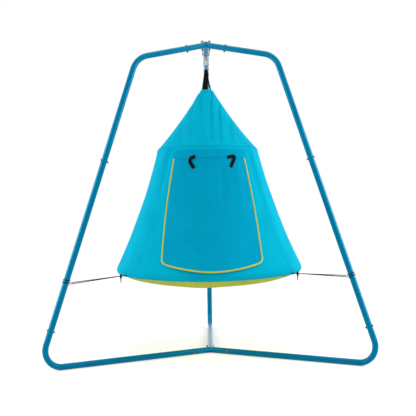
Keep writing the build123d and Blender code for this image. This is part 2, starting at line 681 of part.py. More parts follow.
with BuildPart() as shoulder_hoop:
    with BuildSketch(radial_plane(FERRULE_AZIMUTH + HOOP_GAP_ARC / 2)):
        with Locations(HOOP_CENTRE):
            Circle(SHOULDER_ROD / 2)
    revolve(axis=Axis.Z, revolution_arc=360 - HOOP_GAP_ARC)
keep(shoulder_hoop.part, "shoulder_hoop")

with BuildPart() as shoulder_hoop_ferrule:
    with BuildSketch(radial_plane(FERRULE_AZIMUTH - FERRULE_ANGLE / 2)):
        with Locations(HOOP_CENTRE):
            Circle(FERRULE_RADIUS)
            Circle(SHOULDER_ROD / 2 + FERRULE_CLEARANCE, mode=Mode.SUBTRACT)
    revolve(axis=Axis.Z, revolution_arc=FERRULE_ANGLE)
keep(shoulder_hoop_ferrule.part, "shoulder_hoop_ferrule")

# Base hoop: tube sections pushed together end to end
HOOP_RADIUS = BASE_HOOP_DIAMETER / 2
HOOP_SPIGOT_RADIUS = HOOP_RADIUS - BASE_HOOP_WALL - BASE_HOOP_CLEARANCE
HOOP_SECTION_ARC = 360 / BASE_HOOP_SECTIONS


def hoop_ring(start, sweep_angle, outer, inner):
    """Stretch of hoop tube of two radii."""
    with BuildPart() as ring:
        with BuildSketch(radial_plane(start)):
            with Locations(RIM_CENTRE):
                Circle(outer)
                Circle(inner, mode=Mode.SUBTRACT)
        revolve(axis=Axis.Z, revolution_arc=sweep_angle)
    return ring.part


for number in range(BASE_HOOP_SECTIONS):
    start = BASE_HOOP_START_ANGLE + number * HOOP_SECTION_ARC
    end = start + HOOP_SECTION_ARC
    tube = hoop_ring(start, HOOP_SECTION_ARC, HOOP_RADIUS, HOOP_RADIUS - BASE_HOOP_WALL)
    spigot_bore = HOOP_SPIGOT_RADIUS - BASE_HOOP_WALL
    shoulder = hoop_ring(end - BASE_HOOP_SHOULDER_ANGLE, BASE_HOOP_SHOULDER_ANGLE, HOOP_RADIUS, spigot_bore)
    spigot = hoop_ring(end, BASE_HOOP_SPIGOT_ANGLE, HOOP_SPIGOT_RADIUS, spigot_bore)
    with BuildPart() as base_hoop:
        add(tube)
        add(shoulder)
        add(spigot)
    keep(base_hoop.part, f"base_hoop_{number + 1}")

# Foam rim pads over the base hoop
PAD_SECTION_ARC = 360 / RIM_PAD_SECTIONS
for number in range(RIM_PAD_SECTIONS):
    start = RIM_PAD_START_ANGLE + number * PAD_SECTION_ARC
    rim_pad = hoop_ring(start, PAD_SECTION_ARC, RIM_PAD_DIAMETER / 2, HOOP_RADIUS + SKIN_CLEARANCE)
    keep(rim_pad, f"rim_pad_{number + 1}")

# Floor: a shallow hanging bowl from the hem
HEM = RIM_CENTRE + Vector(cos(radians(HEM_ANGLE)), sin(radians(HEM_ANGLE))) * RIM_WRAP
FLOOR_RIM = HEM - (FLOOR_RIM_GAP, 0)
FLOOR_MIDDLE = Vector(0, FLOOR_RIM.Y - FLOOR_SAG)
FLOOR_RADIUS = (FLOOR_RIM.X**2 + FLOOR_SAG**2) / (2 * FLOOR_SAG)


def above_floor(reach, layer):
    """Point some distance above the middle of the floor cloth."""
    rise = sqrt((FLOOR_RADIUS - layer) ** 2 - reach**2)
    return Vector(reach, FLOOR_MIDDLE.Y + FLOOR_RADIUS - rise)


with BuildPart() as floor_panel:
    with BuildSketch(radial_plane(0)):
        with BuildLine():
            TangentArc(FLOOR_MIDDLE, FLOOR_RIM, tangent=(1, 0))
        trace(line_width=FLOOR_THICKNESS)
    revolve(axis=Axis.Z, revolution_arc=360)
keep(floor_panel.part, "floor_panel")

# Mat on the floor: dished under, with a rounded edge and a thicker middle
MAT_LAYER = FLOOR_THICKNESS / 2 + SKIN_CLEARANCE
MAT_TURN = above_floor(MAT_REACH - MAT_EDGE_BULGE, MAT_LAYER)
MAT_TOP = above_floor(0, MAT_LAYER) + (0, MAT_MIDDLE_THICKNESS)
MAT_EDGE_TOP = MAT_TURN + (0, MAT_EDGE_THICKNESS)

with BuildPart() as floor_mat:
    with BuildSketch(radial_plane(0)):
        with BuildLine():
            TangentArc(above_floor(0, MAT_LAYER), MAT_TURN, tangent=(1, 0))
            ThreePointArc(
                MAT_TURN,
                (MAT_REACH, MAT_TURN.Y + MAT_EDGE_THICKNESS / 2),
                MAT_EDGE_TOP,
            )
            TangentArc(MAT_TOP, MAT_EDGE_TOP, tangent=(1, 0))
            Line(above_floor(0, MAT_LAYER), MAT_TOP)
        make_face()
    revolve(axis=Axis.Z, revolution_arc=360)
keep(floor_mat.part, "floor_mat")

# Door flap, hung from its header
FLAP_MIDDLE = SKIN / 2 + FLAP_GAP + FLAP / 2
FLAP_OUTSIDE = SKIN / 2 + FLAP_GAP + FLAP
FLAP_START = DOOR_ANGLE - FLAP_SWEEP_ANGLE / 2
SEWN_ON = FLAP_OUTSIDE + LAYER_CLEARANCE
flap_layer = wall_layer(FLAP_MIDDLE, FLAP, FLAP_START, FLAP_SWEEP_ANGLE)
binding_layer = wall_layer(SEWN_ON + BINDING / 2, BINDING, FLAP_START, FLAP_SWEEP_ANGLE)
tie_layer = wall_layer(SEWN_ON + TIE / 2, TIE, FLAP_START, FLAP_SWEEP_ANGLE)
header_thickness = FLAP_OUTSIDE - SKIN / 2 - LAYER_CLEARANCE
header_layer = wall_layer(FLAP_OUTSIDE - header_thickness / 2, header_thickness, FLAP_START, FLAP_SWEEP_ANGLE)

with BuildPart() as door_flap:
    add(flap_layer)
    with BuildSketch(DOOR_PLANE):
        add(door_face)
    extrude(amount=DOOR_REACH, mode=Mode.INTERSECT)
keep(door_flap.part, "door_flap")

with BuildPart() as door_binding:
    add(binding_layer)
    with BuildSketch(DOOR_PLANE):
        add(door_face)
        add(inner_face, mode=Mode.SUBTRACT)
    extrude(amount=DOOR_REACH, mode=Mode.INTERSECT)
keep(door_binding.part, "door_binding")

with BuildPart() as door_header:
    add(header_layer)
    with BuildSketch(DOOR_PLANE):
        with Locations((0, DOOR_TOP + HEADER_CLEARANCE)):
            Rectangle(2 * DOOR_TOP_HALF, HEADER_DEPTH, align=(Align.CENTER, Align.MIN))
    extrude(amount=DOOR_REACH, mode=Mode.INTERSECT)
keep(door_header.part, "door_header")

for side, place in TIE_PLACES.items():
    middle = (place, DOOR_TOP - TIE_LENGTH / 2 - TIE_WIDTH / 2, 0)
    with BuildPart() as door_tie:
        add(tie_layer)
        with BuildSketch(DOOR_PLANE):
            with Locations(Location(middle, (0, 0, TIE_ANGLES[side]))):
                SlotOverall(TIE_LENGTH, TIE_WIDTH, rotation=90)
        extrude(amount=DOOR_REACH, mode=Mode.INTERSECT)
    keep(door_tie.part, f"door_tie_{side}")

# Webbing head: a loop over the hook's bar, its two legs stitched together below
HEAD_MIDDLE = HOOK_WIRE / 2 + HEAD_BAR_CLEARANCE + HEAD_WEBBING / 2
with BuildPart() as strap_head:
    with BuildSketch(Plane.YZ):
        with BuildLine():
            Line((-HEAD_MIDDLE, HEAD_BOTTOM), (-HEAD_MIDDLE, HOOK_BAR_HEIGHT))
            CenterArc((0, HOOK_BAR_HEIGHT), HEAD_MIDDLE, 180, -180)
            Line((HEAD_MIDDLE, HOOK_BAR_HEIGHT), (HEAD_MIDDLE, HEAD_BOTTOM))
        trace(line_width=HEAD_WEBBING)
    extrude(amount=HEAD_WIDTH / 2, both=True)
keep(strap_head.part, "strap_head")

# Suspension straps: from the head, out through the neck, down to the padded hoop
STRAP_FOOT = RIM_CENTRE + (Vector(STRAP_NECK_REACH, NECK_HEIGHT) - RIM_CENTRE).normalized() * (
    RIM_PAD_DIAMETER / 2 + STRAP_FOOT_GAP
)
for side, azimuth in LEG_ANGLES.items():
    neck_plane = radial_plane(azimuth + STRAP_NECK_TURN_ANGLE)
    top = neck_plane.from_local_coords((STRAP_TOP_REACH, HEAD_BOTTOM - SKIN_CLEARANCE))
    neck = neck_plane.from_local_coords((STRAP_NECK_REACH, NECK_HEIGHT))
    foot = radial_plane(azimuth).from_local_coords(STRAP_FOOT)
    foot_run = (foot - neck).normalized()
    neck_turn = ((neck - top).normalized() + foot_run).normalized()
    with BuildPart() as strap:
        with BuildSketch(Plane(origin=top, x_dir=neck_plane.z_dir, z_dir=(0, 0, -1))):
            Rectangle(STRAP_TOP_WIDTH, WEBBING)
        with BuildSketch(Plane(origin=neck, x_dir=neck_plane.z_dir, z_dir=neck_turn)):
            Rectangle(WEBBING_WIDTH, WEBBING)
        with BuildSketch(Plane(origin=foot, x_dir=radial_plane(azimuth).z_dir, z_dir=foot_run)):
            Rectangle(WEBBING_WIDTH, WEBBING)
        loft(ruled=True)
    keep(strap.part, f"suspension_strap_{side}")

# Hem tabs, cord toggles and cord tails at the rim
RIM_OUTSIDE = RIM_WRAP + SKIN / 2
TAB_DROP = RIM_HEIGHT - TETHER_HEIGHT - TAB / 2
TAB_START = RIM_REACH + sqrt(RIM_OUTSIDE**2 - TAB_DROP**2) + SKIN_CLEARANCE
TAB_END = TAB_START + TAB_LENGTH
TOGGLE_REACH = TAB_END + CORD_SEAT_GAP + TOGGLE_DIAMETER / 2

with BuildPart() as hem_tabs:
    for azimuth in LEG_ANGLES.values():
        with BuildSketch(radial_plane(azimuth)):
            with Locations((TAB_START, TETHER_HEIGHT)):
                Rectangle(TAB_LENGTH, TAB, align=(Align.MIN, Align.CENTER))
        extrude(amount=TAB_WIDTH / 2, both=True)
keep(hem_tabs.part, "hem_tabs")

with BuildPart() as tether_toggles:
    for azimuth in LEG_ANGLES.values():
        place = radial_plane(azimuth).from_local_coords((TOGGLE_REACH, TETHER_HEIGHT))
        with BuildSketch(Plane(origin=place - (0, 0, TOGGLE_LENGTH / 2), z_dir=(0, 0, 1))):
            Circle(TOGGLE_DIAMETER / 2)
        extrude(amount=TOGGLE_LENGTH)
    rounded = tether_toggles.edges().filter_by(GeomType.CIRCLE)
    fillet(rounded, TOGGLE_EDGE)
keep(tether_toggles.part, "tether_toggles")

with BuildPart() as tether_tails:
    for azimuth in LEG_ANGLES.values():
        place = radial_plane(azimuth).from_local_coords(
            (TOGGLE_REACH, TETHER_HEIGHT - TOGGLE_LENGTH / 2 - CORD_SEAT_GAP)
        )
        with BuildSketch(Plane(origin=place, z_dir=(0, 0, -1))):
            Circle(CORD_RADIUS)
        with BuildSketch(Plane(origin=place - (0, 0, TAIL_LENGTH), z_dir=(0, 0, -1))):
            Circle(TAIL_TIP_DIAMETER / 2)
        loft()
keep(tether_tails.part, "tether_tails")

# Cord windings round the legs: half turns, each one an arc in a tilted plane
WINDING_RADIUS = TUBE_RADIUS + WINDING_CLEARANCE + CORD_RADIUS
WINDING_PITCH = CORD_DIAMETER + WINDING_GAP
SAMPLES = 60
least_gap = WINDING_PITCH
for side, azimuth in LEG_ANGLES.items():
    leg = radial_plane(azimuth)
    middle = on_leg(TETHER_HEIGHT + TETHER_LEG_RISE[side])
    along = leg.from_local_coords(middle + LEG_UP) - leg.from_local_coords(middle)
    inward = leg.from_local_coords(middle + Vector(-LEG_UP.Y, LEG_UP.X)) - leg.from_local_coords(middle)
    winding_plane = Plane(origin=leg.from_local_coords(middle), x_dir=inward, z_dir=along)
    low = -WINDING_TURNS * WINDING_PITCH / 2
    with BuildPart() as winding:
        with BuildLine(winding_plane) as route:
            Line((WINDING_RADIUS, -CORD_DIAMETER, low), (WINDING_RADIUS, 0, low))
            for half in range(2 * WINDING_TURNS):
                way = 1 if half % 2 == 0 else -1
                height = low + half * WINDING_PITCH / 2
                ThreePointArc(
                    (way * WINDING_RADIUS, 0, height),
                    (0, way * WINDING_RADIUS, height + WINDING_PITCH / 4),
                    (-way * WINDING_RADIUS, 0, height + WINDING_PITCH / 2),
                )
            Line((WINDING_RADIUS, 0, -low), (WINDING_RADIUS, CORD_DIAMETER, -low))
        with BuildSketch(Plane(origin=route.line @ 0, z_dir=route.line % 0)):
            Circle(CORD_RADIUS)
        sweep()
    turns = route.edges().filter_by(GeomType.CIRCLE)
    points = [edge @ (step / SAMPLES) for edge in turns for step in range(SAMPLES)]
    turn_apart = 3 * SAMPLES // 2
    gaps = [(a - b).length for i, a in enumerate(points) for b in points[i + turn_apart :]]
    least_gap = min(least_gap, min(gaps) - CORD_DIAMETER)
    keep(winding.part, f"leg_winding_{side}")
print(f"least gap between turns of a leg winding: {least_gap:.2f} mm")

# Small rings on the inner side of the legs
RING_RADIUS = (LEG_RING_DIAMETER - LEG_RING_WIRE) / 2
RING_SET_BACK = WINDING_RADIUS + CORD_RADIUS + CORD_SEAT_GAP + LEG_RING_DIAMETER / 2
ring_centres = {}
with BuildPart() as leg_rings:
    for side, azimuth in LEG_ANGLES.items():
        centre = on_leg(TETHER_HEIGHT + TETHER_LEG_RISE[side]) + Vector(-LEG_UP.Y, LEG_UP.X) * RING_SET_BACK
        ring_centres[side] = centre
        place = radial_plane(azimuth)
        with BuildLine(place) as route:
            CenterArc(tuple(centre), RING_RADIUS, 0, 360)
        with BuildSketch(Plane(origin=route.line @ 0, z_dir=route.line % 0)):
            Circle(LEG_RING_WIRE / 2)
        sweep()
keep(leg_rings.part, "leg_rings")

# Doubled tether cords, pulled tight: the strands lie side by side at the toggle, and stacked at the ring
STRAND_TOGGLE_OFFSET = CORD_RADIUS + STRAND_TOGGLE_GAP / 2
STRAND_RING_OFFSET = CORD_RADIUS + STRAND_RING_GAP / 2
for side, azimuth in LEG_ANGLES.items():
    leg = radial_plane(azimuth)
    start = Vector(TOGGLE_REACH + TOGGLE_DIAMETER / 2 + CORD_SEAT_GAP, TETHER_HEIGHT)
    run = ring_centres[side] - start
    end = start + run.normalized() * (run.length - LEG_RING_DIAMETER / 2 - CORD_SEAT_GAP)
    upright = Vector(-run.Y, run.X).normalized() * STRAND_RING_OFFSET
    with BuildPart() as tether:
        for way in (1, -1):
            start_point = leg.from_local_coords(start + Vector(0, 0, way * STRAND_TOGGLE_OFFSET))
            end_point = leg.from_local_coords(end + upright * way)
            strand = end_point - start_point
            with BuildSketch(Plane(origin=start_point, z_dir=strand)):
                Circle(CORD_RADIUS)
            extrude(amount=strand.length)
    keep(tether.part, f"tether_cord_{side}")
    print(f"tether {side}: two strands of {strand.length:.1f} mm from {start} to {end}")

print(f"den swing axis along X at height {U_BAR_HEIGHT:.2f}")
print(f"gate axis along Y at {GATE_PIVOT}")
print(f"flap axis at reach {wall_reach(DOOR_TOP, FLAP_OUTSIDE):.3f}, height {DOOR_TOP}, azimuth {DOOR_ANGLE}")
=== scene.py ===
"""Looks of a hanging den on a three-legged tube stand: metres and degrees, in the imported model's frame."""

from math import asin, atan2, cos, degrees, exp, hypot, pi, radians, sin, sqrt

import bpy
from mathutils import Matrix, Vector, noise

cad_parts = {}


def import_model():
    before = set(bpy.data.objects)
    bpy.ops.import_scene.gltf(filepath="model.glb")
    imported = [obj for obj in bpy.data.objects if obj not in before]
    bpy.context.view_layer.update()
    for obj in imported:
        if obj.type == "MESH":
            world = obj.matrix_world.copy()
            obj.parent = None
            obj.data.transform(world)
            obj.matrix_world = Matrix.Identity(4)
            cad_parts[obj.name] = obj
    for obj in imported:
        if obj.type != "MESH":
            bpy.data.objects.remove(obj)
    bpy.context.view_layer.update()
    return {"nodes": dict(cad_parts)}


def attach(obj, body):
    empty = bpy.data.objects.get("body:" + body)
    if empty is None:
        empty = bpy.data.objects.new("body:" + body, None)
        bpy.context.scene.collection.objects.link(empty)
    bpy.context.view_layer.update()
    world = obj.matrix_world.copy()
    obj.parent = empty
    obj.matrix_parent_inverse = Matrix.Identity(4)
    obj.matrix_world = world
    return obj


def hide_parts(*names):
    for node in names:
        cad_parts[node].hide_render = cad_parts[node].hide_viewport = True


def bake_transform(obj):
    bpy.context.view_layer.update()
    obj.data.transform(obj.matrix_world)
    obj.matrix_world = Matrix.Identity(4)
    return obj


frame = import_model()

# The photograph's camera
PHOTO_SIZE = 416
FOCAL_PIXELS = 788.56
SENSOR = 36.0
CAMERA_PLACE = (0.0, -5.276, 0.952)
CAMERA_PITCH = 0.0026
CAMERA_PAN = -0.0003
CAMERA_ROLL = -0.0150

# The three legs and what the tethers run between, as reach and height
LEGS = {"left": 210.0, "right": 330.0, "back": 90.0}
TETHER_RIM_END = (0.64872, 0.5450)
TETHER_LEG_END = {"left": (0.96171, 0.51985), "right": (0.95502, 0.53836), "back": (0.95819, 0.52959)}
TETHER_LEG_HEIGHT = {"left": 0.530, "right": 0.549, "back": 0.540}
CORD_DIAMETER = 0.005
TAIL_TOP_RADIUS = 0.0034
LEG_FOOT = Vector((1.180, 0.019))
LEG_TOP = Vector((0.510, 1.930))
WINDING_TURNS = 2
WINDING_PITCH = 0.0145
WINDING_RADIUS = 0.0219
POINTS_PER_TURN = 12
TOGGLE_REACH = 0.6414
TOGGLE_LENGTH = 0.026
TAIL_LENGTH = 0.0302
TAIL_GAP = 0.0003
TAIL_LEAN = 0.0012
STRAND_TOGGLE_OFFSET = 0.0034
STRAND_RING_OFFSET = 0.00425
TAB_START = 0.6042
TAB_LENGTH = 0.030
TAB_WIDTH = 0.020

# Den profile, as reach and height
NECK = Vector((0.038, 1.751))
SHOULDER = Vector((0.331, 1.352))
ROOF_HOLLOW = 0.011
RIM = Vector((0.573, 0.572))
RIM_WRAP = 0.0385
RIM_PAD_RADIUS = 0.0367
WALL_FLARE = radians(26.0)
HEM_ANGLE = radians(-95.0)
SEAMS = (221.0, 325.0, 51.0, 135.0)
SKIN_OUT = 0.0015
CLOTH = 0.0012
FLOOR_RIM = Vector((0.5686, 0.5336))
FLOOR_SAG = 0.092
MAT_REACH = 0.505
MAT_EDGE = 0.018
MAT_MIDDLE = 0.028
MAT_LIFT = 0.0058

# Door, as seen square on to its middle
DOOR_AZIMUTH = radians(272.2)
DOOR_TOP = 1.277
DOOR_TOP_HALF = 0.228
DOOR_CORNER_HEIGHT = 0.626
DOOR_BOTTOM_HALF = 0.312
DOOR_DIP = 0.050
DOOR_BOW = 0.010
DOOR_ROUNDING = 0.030
DOORWAY_LAP = 0.028
FLAP_LAYER = 0.0078
HEADER_DEPTH = 0.054
HEADER_CLOTH = 0.0006

# Webbing that carries the den
WEBBING = 0.0025
WEBBING_WIDTH = 0.036
STRAP_TOP_WIDTH = 0.031
STRAP_TOP = (0.0066, 1.8507)
STRAP_NECK = (0.028, 1.751)
STRAP_NECK_TURN = 40.0
STRAP_FOOT_GAP = 0.0007
HEAD_WIDTH = 0.022
HEAD_FOOT_WIDTH = 0.033
HEAD_WEBBING = 0.0032
HEAD_BOTTOM = 1.851
HEAD_HALF = 0.0074
HOOK_BAR_HEIGHT = 1.882


def at(azimuth, reach, height):
    """Point at an azimuth in degrees, a reach from the middle axis and a height."""
    turn = radians(azimuth)
    return Vector((reach * cos(turn), reach * sin(turn), height))


def bump(offset, width):
    """Smooth hump of height 1."""
    return exp(-((offset / width) ** 2))


def ease(value):
    """Smooth step from 0 to 1."""
    t = min(1.0, max(0.0, value))
    return t * t * (3 - 2 * t)


def turn_between(a, b):
    """Signed turn from azimuth b to azimuth a, in degrees."""
    return (a - b + 180.0) % 360.0 - 180.0


# Materials


def linear(red, green, blue):
    """Linear colour of a screen colour in 0 to 255."""
    channels = []
    for value in (red, green, blue):
        c = value / 255
        channels.append(c / 12.92 if c <= 0.04045 else ((c + 0.055) / 1.055) ** 2.4)
    return (*channels, 1.0)


class Finish:
    """A material with one Principled shader, and the nodes that give it colour variation and relief."""

    def __init__(self, name, colour, roughness, metallic=0.0, specular=0.5, tinted=False):
        self.material = bpy.data.materials.new(name)
        self.material.use_nodes = True
        self.tree = self.material.node_tree
        self.shader = self.tree.nodes["Principled BSDF"]
        self.colour = colour
        self.relief = None
        looks = {"Base Color": colour, "Roughness": roughness, "Metallic": metallic,
                 "Specular IOR Level": specular}
        if tinted:
            most = max(colour[:3])
            looks["Specular Tint"] = (*[c / most for c in colour[:3]], 1.0)
        for key, value in looks.items():
            self.shader.inputs[key].default_value = value

    def node(self, kind, **values):
        """New node, with values for its inputs or else its settings."""
        made = self.tree.nodes.new(kind)
        for key, value in values.items():
            if key in made.inputs:
                made.inputs[key].default_value = value
            else:
                setattr(made, key, value)
        return made

    def link(self, source, target):
        self.tree.links.new(source, target)

    def place(self, sheet):
        """Coordinates: the cloth's own length and width, or the object's space."""
        if sheet:
            return self.node("ShaderNodeUVMap", uv_map="cloth").outputs["UV"]
        return self.node("ShaderNodeTexCoord").outputs["Object"]

    def cloudy(self, scale, other, low=0.35, high=0.65, sheet=False):
        """Blend of the finish's colour with another one, in soft clouds."""
        cloud = self.node("ShaderNodeTexNoise", Scale=scale, Detail=4.0)
        limits = {"From Min": low, "From Max": high}
        spread = self.node("ShaderNodeMapRange", interpolation_type="SMOOTHSTEP", **limits)
        mix = self.node("ShaderNodeMix", data_type="RGBA")
        first, second = [i for i in mix.inputs if i.type == "RGBA"]
        first.default_value, second.default_value = self.colour, other
        made = [o for o in mix.outputs if o.type == "RGBA"][0]
        self.link(self.place(sheet), cloud.inputs["Vector"])
        self.link(cloud.outputs["Fac"], spread.inputs["Value"])
        self.link(spread.outputs["Result"], mix.inputs["Factor"])
        self.link(made, self.shader.inputs["Base Color"])
        return self

    def raise_by(self, height, depth, strength):
        """Adds a height pattern to the relief."""
        relief = self.node("ShaderNodeBump", Distance=depth, Strength=strength)
        self.link(height, relief.inputs["Height"])
        if self.relief is not None:
            self.link(self.relief.outputs["Normal"], relief.inputs["Normal"])
        self.link(relief.outputs["Normal"], self.shader.inputs["Normal"])
        self.relief = relief
        return self

    def grainy(self, scale, depth, strength, sheet=False):
        """Fine uneven relief."""
        grain = self.node("ShaderNodeTexNoise", Scale=scale, Detail=3.0)
        self.link(self.place(sheet), grain.inputs["Vector"])
        return self.raise_by(grain.outputs["Fac"], depth, strength)

    def crossed(self, heights, operation, depth, strength):
        """Adds two height patterns as one to the relief."""
        join = self.node("ShaderNodeMath", operation=operation)
        for height, entry in zip(heights, join.inputs):
            self.link(height, entry)
        return self.raise_by(join.outputs["Value"], depth, strength)

    def woven(self, threads, depth, strength, twill=False):
        """Plain weave or ribs, with this many threads a metre."""
        heights = []
        for way in ("X", "Y"):
            wave = self.node("ShaderNodeTexWave", Scale=threads / 20, bands_direction=way)
            self.link(self.place(True), wave.inputs["Vector"])
            heights.append(wave.outputs["Fac"])
        return self.crossed(heights, "ADD" if twill else "MAXIMUM", depth, strength)

    def braided(self, along, around, depth, strength):
        """Two crossing diagonals: the cloth coordinates run along and round a cord."""
        heights = []
        for lean in (1.0, -1.0):
            turn = self.node("ShaderNodeMapping", Scale=(along, lean * around, 1.0))
            self.link(self.place(True), turn.inputs["Vector"])
            wave = self.node("ShaderNodeTexWave", Scale=1.0, bands_direction="DIAGONAL")
            self.link(turn.outputs["Vector"], wave.inputs["Vector"])
            heights.append(wave.outputs["Fac"])
        return self.crossed(heights, "MAXIMUM", depth, strength)


def cloth_finish(name, colour, shade, threads=900.0):
    """Canvas: soft clouds of colour, a plain weave and fine creases."""
    made = Finish(name, linear(*colour), roughness=0.82, specular=0.07, tinted=True)
    made.cloudy(5.0, linear(*shade), low=0.40, high=0.75, sheet=True)
    made.grainy(38.0, 0.0016, 0.30, sheet=True)
    made.woven(threads, 0.0003, 0.25)
    return made.material


def clouded(name, colour, shade, roughness, scale, grain=None, **looks):
    """Plain finish in two shades of a colour, with or without a grain."""
    made = Finish(name, linear(*colour), roughness, **looks).cloudy(scale, linear(*shade))
    if grain is not None:
        made.grainy(*grain)
    return made.material


SKIN_FABRIC = cloth_finish("skin_fabric", (0, 179, 209), (0, 170, 201))
# The door fabric is partly its own deeper cyan and partly painted shade of the front panel, which the side
# lamps light less.
DOOR_FABRIC_AND_SHADE = cloth_finish("door_fabric", (0, 161, 198), (0, 155, 192))
FLOOR_FABRIC = cloth_finish("floor_fabric", (198, 202, 78), (185, 190, 68))
TRIM_FABRIC = cloth_finish("trim_fabric", (200, 203, 84), (186, 189, 70), threads=1400.0)
MAT_FABRIC = cloth_finish("mat_fabric", (176, 186, 70), (150, 162, 56))
THREAD = clouded("thread", (0, 178, 208), (0, 162, 194), 0.7, 300.0, specular=0.1)
LIME_THREAD = clouded("lime_thread", (160, 160, 60), (140, 142, 50), 0.6, 300.0)
WEBBING_FABRIC = (
    Finish("webbing_fabric", linear(16, 16, 20), 0.7, specular=0.05)
    .cloudy(14.0, linear(11, 11, 14), sheet=True)
    .woven(620.0, 0.0006, 0.6, twill=True)
    .material
)
CORD_BRAID = (
    Finish("cord_braid", linear(24, 24, 26), 0.6, specular=0.1)
    .cloudy(40.0, linear(17, 17, 19), sheet=True)
    .braided(60.0, 60.0, 0.0006, 0.7)
    .material
)
STAND_PAINT = (
    Finish("stand_paint", linear(0, 120, 158), 0.2, specular=0.62, tinted=True)
    .cloudy(7.0, linear(0, 112, 150), low=0.45, high=0.8)
    .grainy(900.0, 0.0002, 0.1)
    .material
)
FOAM = clouded("rim_foam", (88, 96, 102), (74, 82, 88), 0.9, 9.0, grain=(420.0, 0.001, 0.5))
ZINC = clouded("yellow_zinc", (138, 112, 70), (104, 88, 62), 0.34, 120.0, metallic=1.0)
RING_STEEL = clouded("ring_steel", (92, 76, 66), (70, 60, 54), 0.42, 120.0, metallic=1.0)
BRIGHT_STEEL = clouded("bright_steel", (164, 167, 170), (128, 130, 134), 0.27, 90.0,
                       grain=(700.0, 0.0002, 0.2), metallic=1.0)
TOGGLE_PLASTIC = clouded("toggle_plastic", (17, 17, 18), (25, 25, 26), 0.42, 160.0,
                         grain=(1500.0, 0.0001, 0.3), specular=0.2)
HOOP_PAINT = clouded("hoop_paint", (120, 123, 126), (104, 107, 110), 0.4, 30.0)
ROD = clouded("hoop_rod", (206, 205, 196), (184, 182, 170), 0.45, 60.0, grain=(600.0, 0.0003, 0.3))

NODE_FINISH = {
    STAND_PAINT: ["top_hub", "base_hub",
                  *[f"{part}_tube_{leg}" for part in ("upper", "leg", "lower") for leg in LEGS]],
    ZINC: ["joint_bolts", "joint_nuts", "joint_washers", "u_bolt_nuts"],
    RING_STEEL: ["leg_rings"],
    BRIGHT_STEEL: ["u_bolt", "u_bolt_plate", "swivel_eye", "hook_body", "hook_gate", "hook_gate_pin",
                   "shoulder_hoop_ferrule"],
    TOGGLE_PLASTIC: ["tether_toggles"],
    HOOP_PAINT: ["base_hoop_1", "base_hoop_2", "base_hoop_3"],
    ROD: ["shoulder_hoop"],
}
for finish, names in NODE_FINISH.items():
    for name in names:
        worn = frame["nodes"][name].data.materials
        worn.clear()
        worn.append(finish)


# Mesh helpers


def mesh_object(name, points, faces, material, places=None, smooth=True):
    """New mesh object, with cloth coordinates in metres if places has one for each point of each face."""
    mesh = bpy.data.meshes.new(name)
    mesh.from_pydata([tuple(p) for p in points], [], faces)
    mesh.materials.append(material)
    if places is not None:
        layer = mesh.uv_layers.new(name="cloth")
        flat = [value for face in places for place in face for value in place]
        layer.data.foreach_set("uv", flat)
    mesh.validate()
    mesh.polygons.foreach_set("use_smooth", [smooth] * len(mesh.polygons))
    made = bpy.data.objects.new(name, mesh)
    bpy.context.scene.collection.objects.link(made)
    return made


def grid(name, rows, material, places, ring=False, keep=None):
    """Object from rows of points of equal length; a ring joins each row's end to its start."""
    across = len(rows[0])
    steps = across if ring else across - 1
    points = [p for row in rows for p in row]
    faces, uvs = [], []
    for r in range(len(rows) - 1):
        for c in range(steps):
            n = (c + 1) % across
            if keep is not None and not keep(r, c):
                continue
            faces.append((r * across + c, (r + 1) * across + c, (r + 1) * across + n, r * across + n))
            uvs.append([places(r, c), places(r + 1, c), places(r + 1, c + 1), places(r, c + 1)])
    return mesh_object(name, points, faces, material, uvs)


def thicken(piece, thickness, offset):
    """Gives a sheet its thickness."""
    modifier = piece.modifiers.new("thickness", "SOLIDIFY")
    modifier.thickness = thickness
    modifier.offset = offset
    modifier.use_quality_normals = True
    return bake(piece)


def bake(piece):
    """Applies a piece's modifiers."""
    graph = bpy.context.evaluated_depsgraph_get()
    shaped = piece.evaluated_get(graph)
    piece.data = bpy.data.meshes.new_from_object(shaped, preserve_all_data_layers=True, depsgraph=graph)
    piece.modifiers.clear()
    return piece


def weld(piece):
    """Merges doubled points when the piece is next baked."""
    piece.modifiers.new("weld", "WELD").merge_threshold = 0.0001


def dress(piece, slot, *nodes, body="den"):
    """Attaches a piece to its body unless that is None, and hides the frame's nodes that it replaces; the
    slot is not used.
    """
    if body is not None:
        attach(piece, body)
    if nodes:
        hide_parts(*nodes)


def spline_points(route, resolution=12):
    """Points read along a smooth spline that has the route as its control points."""
    curve = bpy.data.curves.new("route", "CURVE")
    curve.dimensions = "3D"
    curve.resolution_u = resolution
    line = curve.splines.new("NURBS")
    line.points.add(len(route) - 1)
    for point, place in zip(line.points, route):
        point.co = (*place, 1.0)
    line.order_u = min(3, len(route))
    line.use_endpoint_u = True
    carrier = bpy.data.objects.new("route", curve)
    bpy.context.scene.collection.objects.link(carrier)
    bpy.context.view_layer.update()
    mesh = bpy.data.meshes.new_from_object(carrier)
    points = [v.co.copy() for v in mesh.vertices]
    bpy.data.objects.remove(carrier)
    bpy.data.meshes.remove(mesh)
    bpy.data.curves.remove(curve)
    return points


def unzip(pairs):
    """Two lists from a list of pairs."""
    return [a for a, _ in pairs], [b for _, b in pairs]


def directions(points):
    """Direction of a line at each of its points."""
    last = len(points) - 1
    return [(points[min(i + 1, last)] - points[max(i - 1, 0)]).normalized() for i in range(last + 1)]


def lengths(points):
    """Length along a line at each of its points."""
    total = [0.0]
    for a, b in zip(points, points[1:]):
        total.append(total[-1] + (b - a).length)
    return total


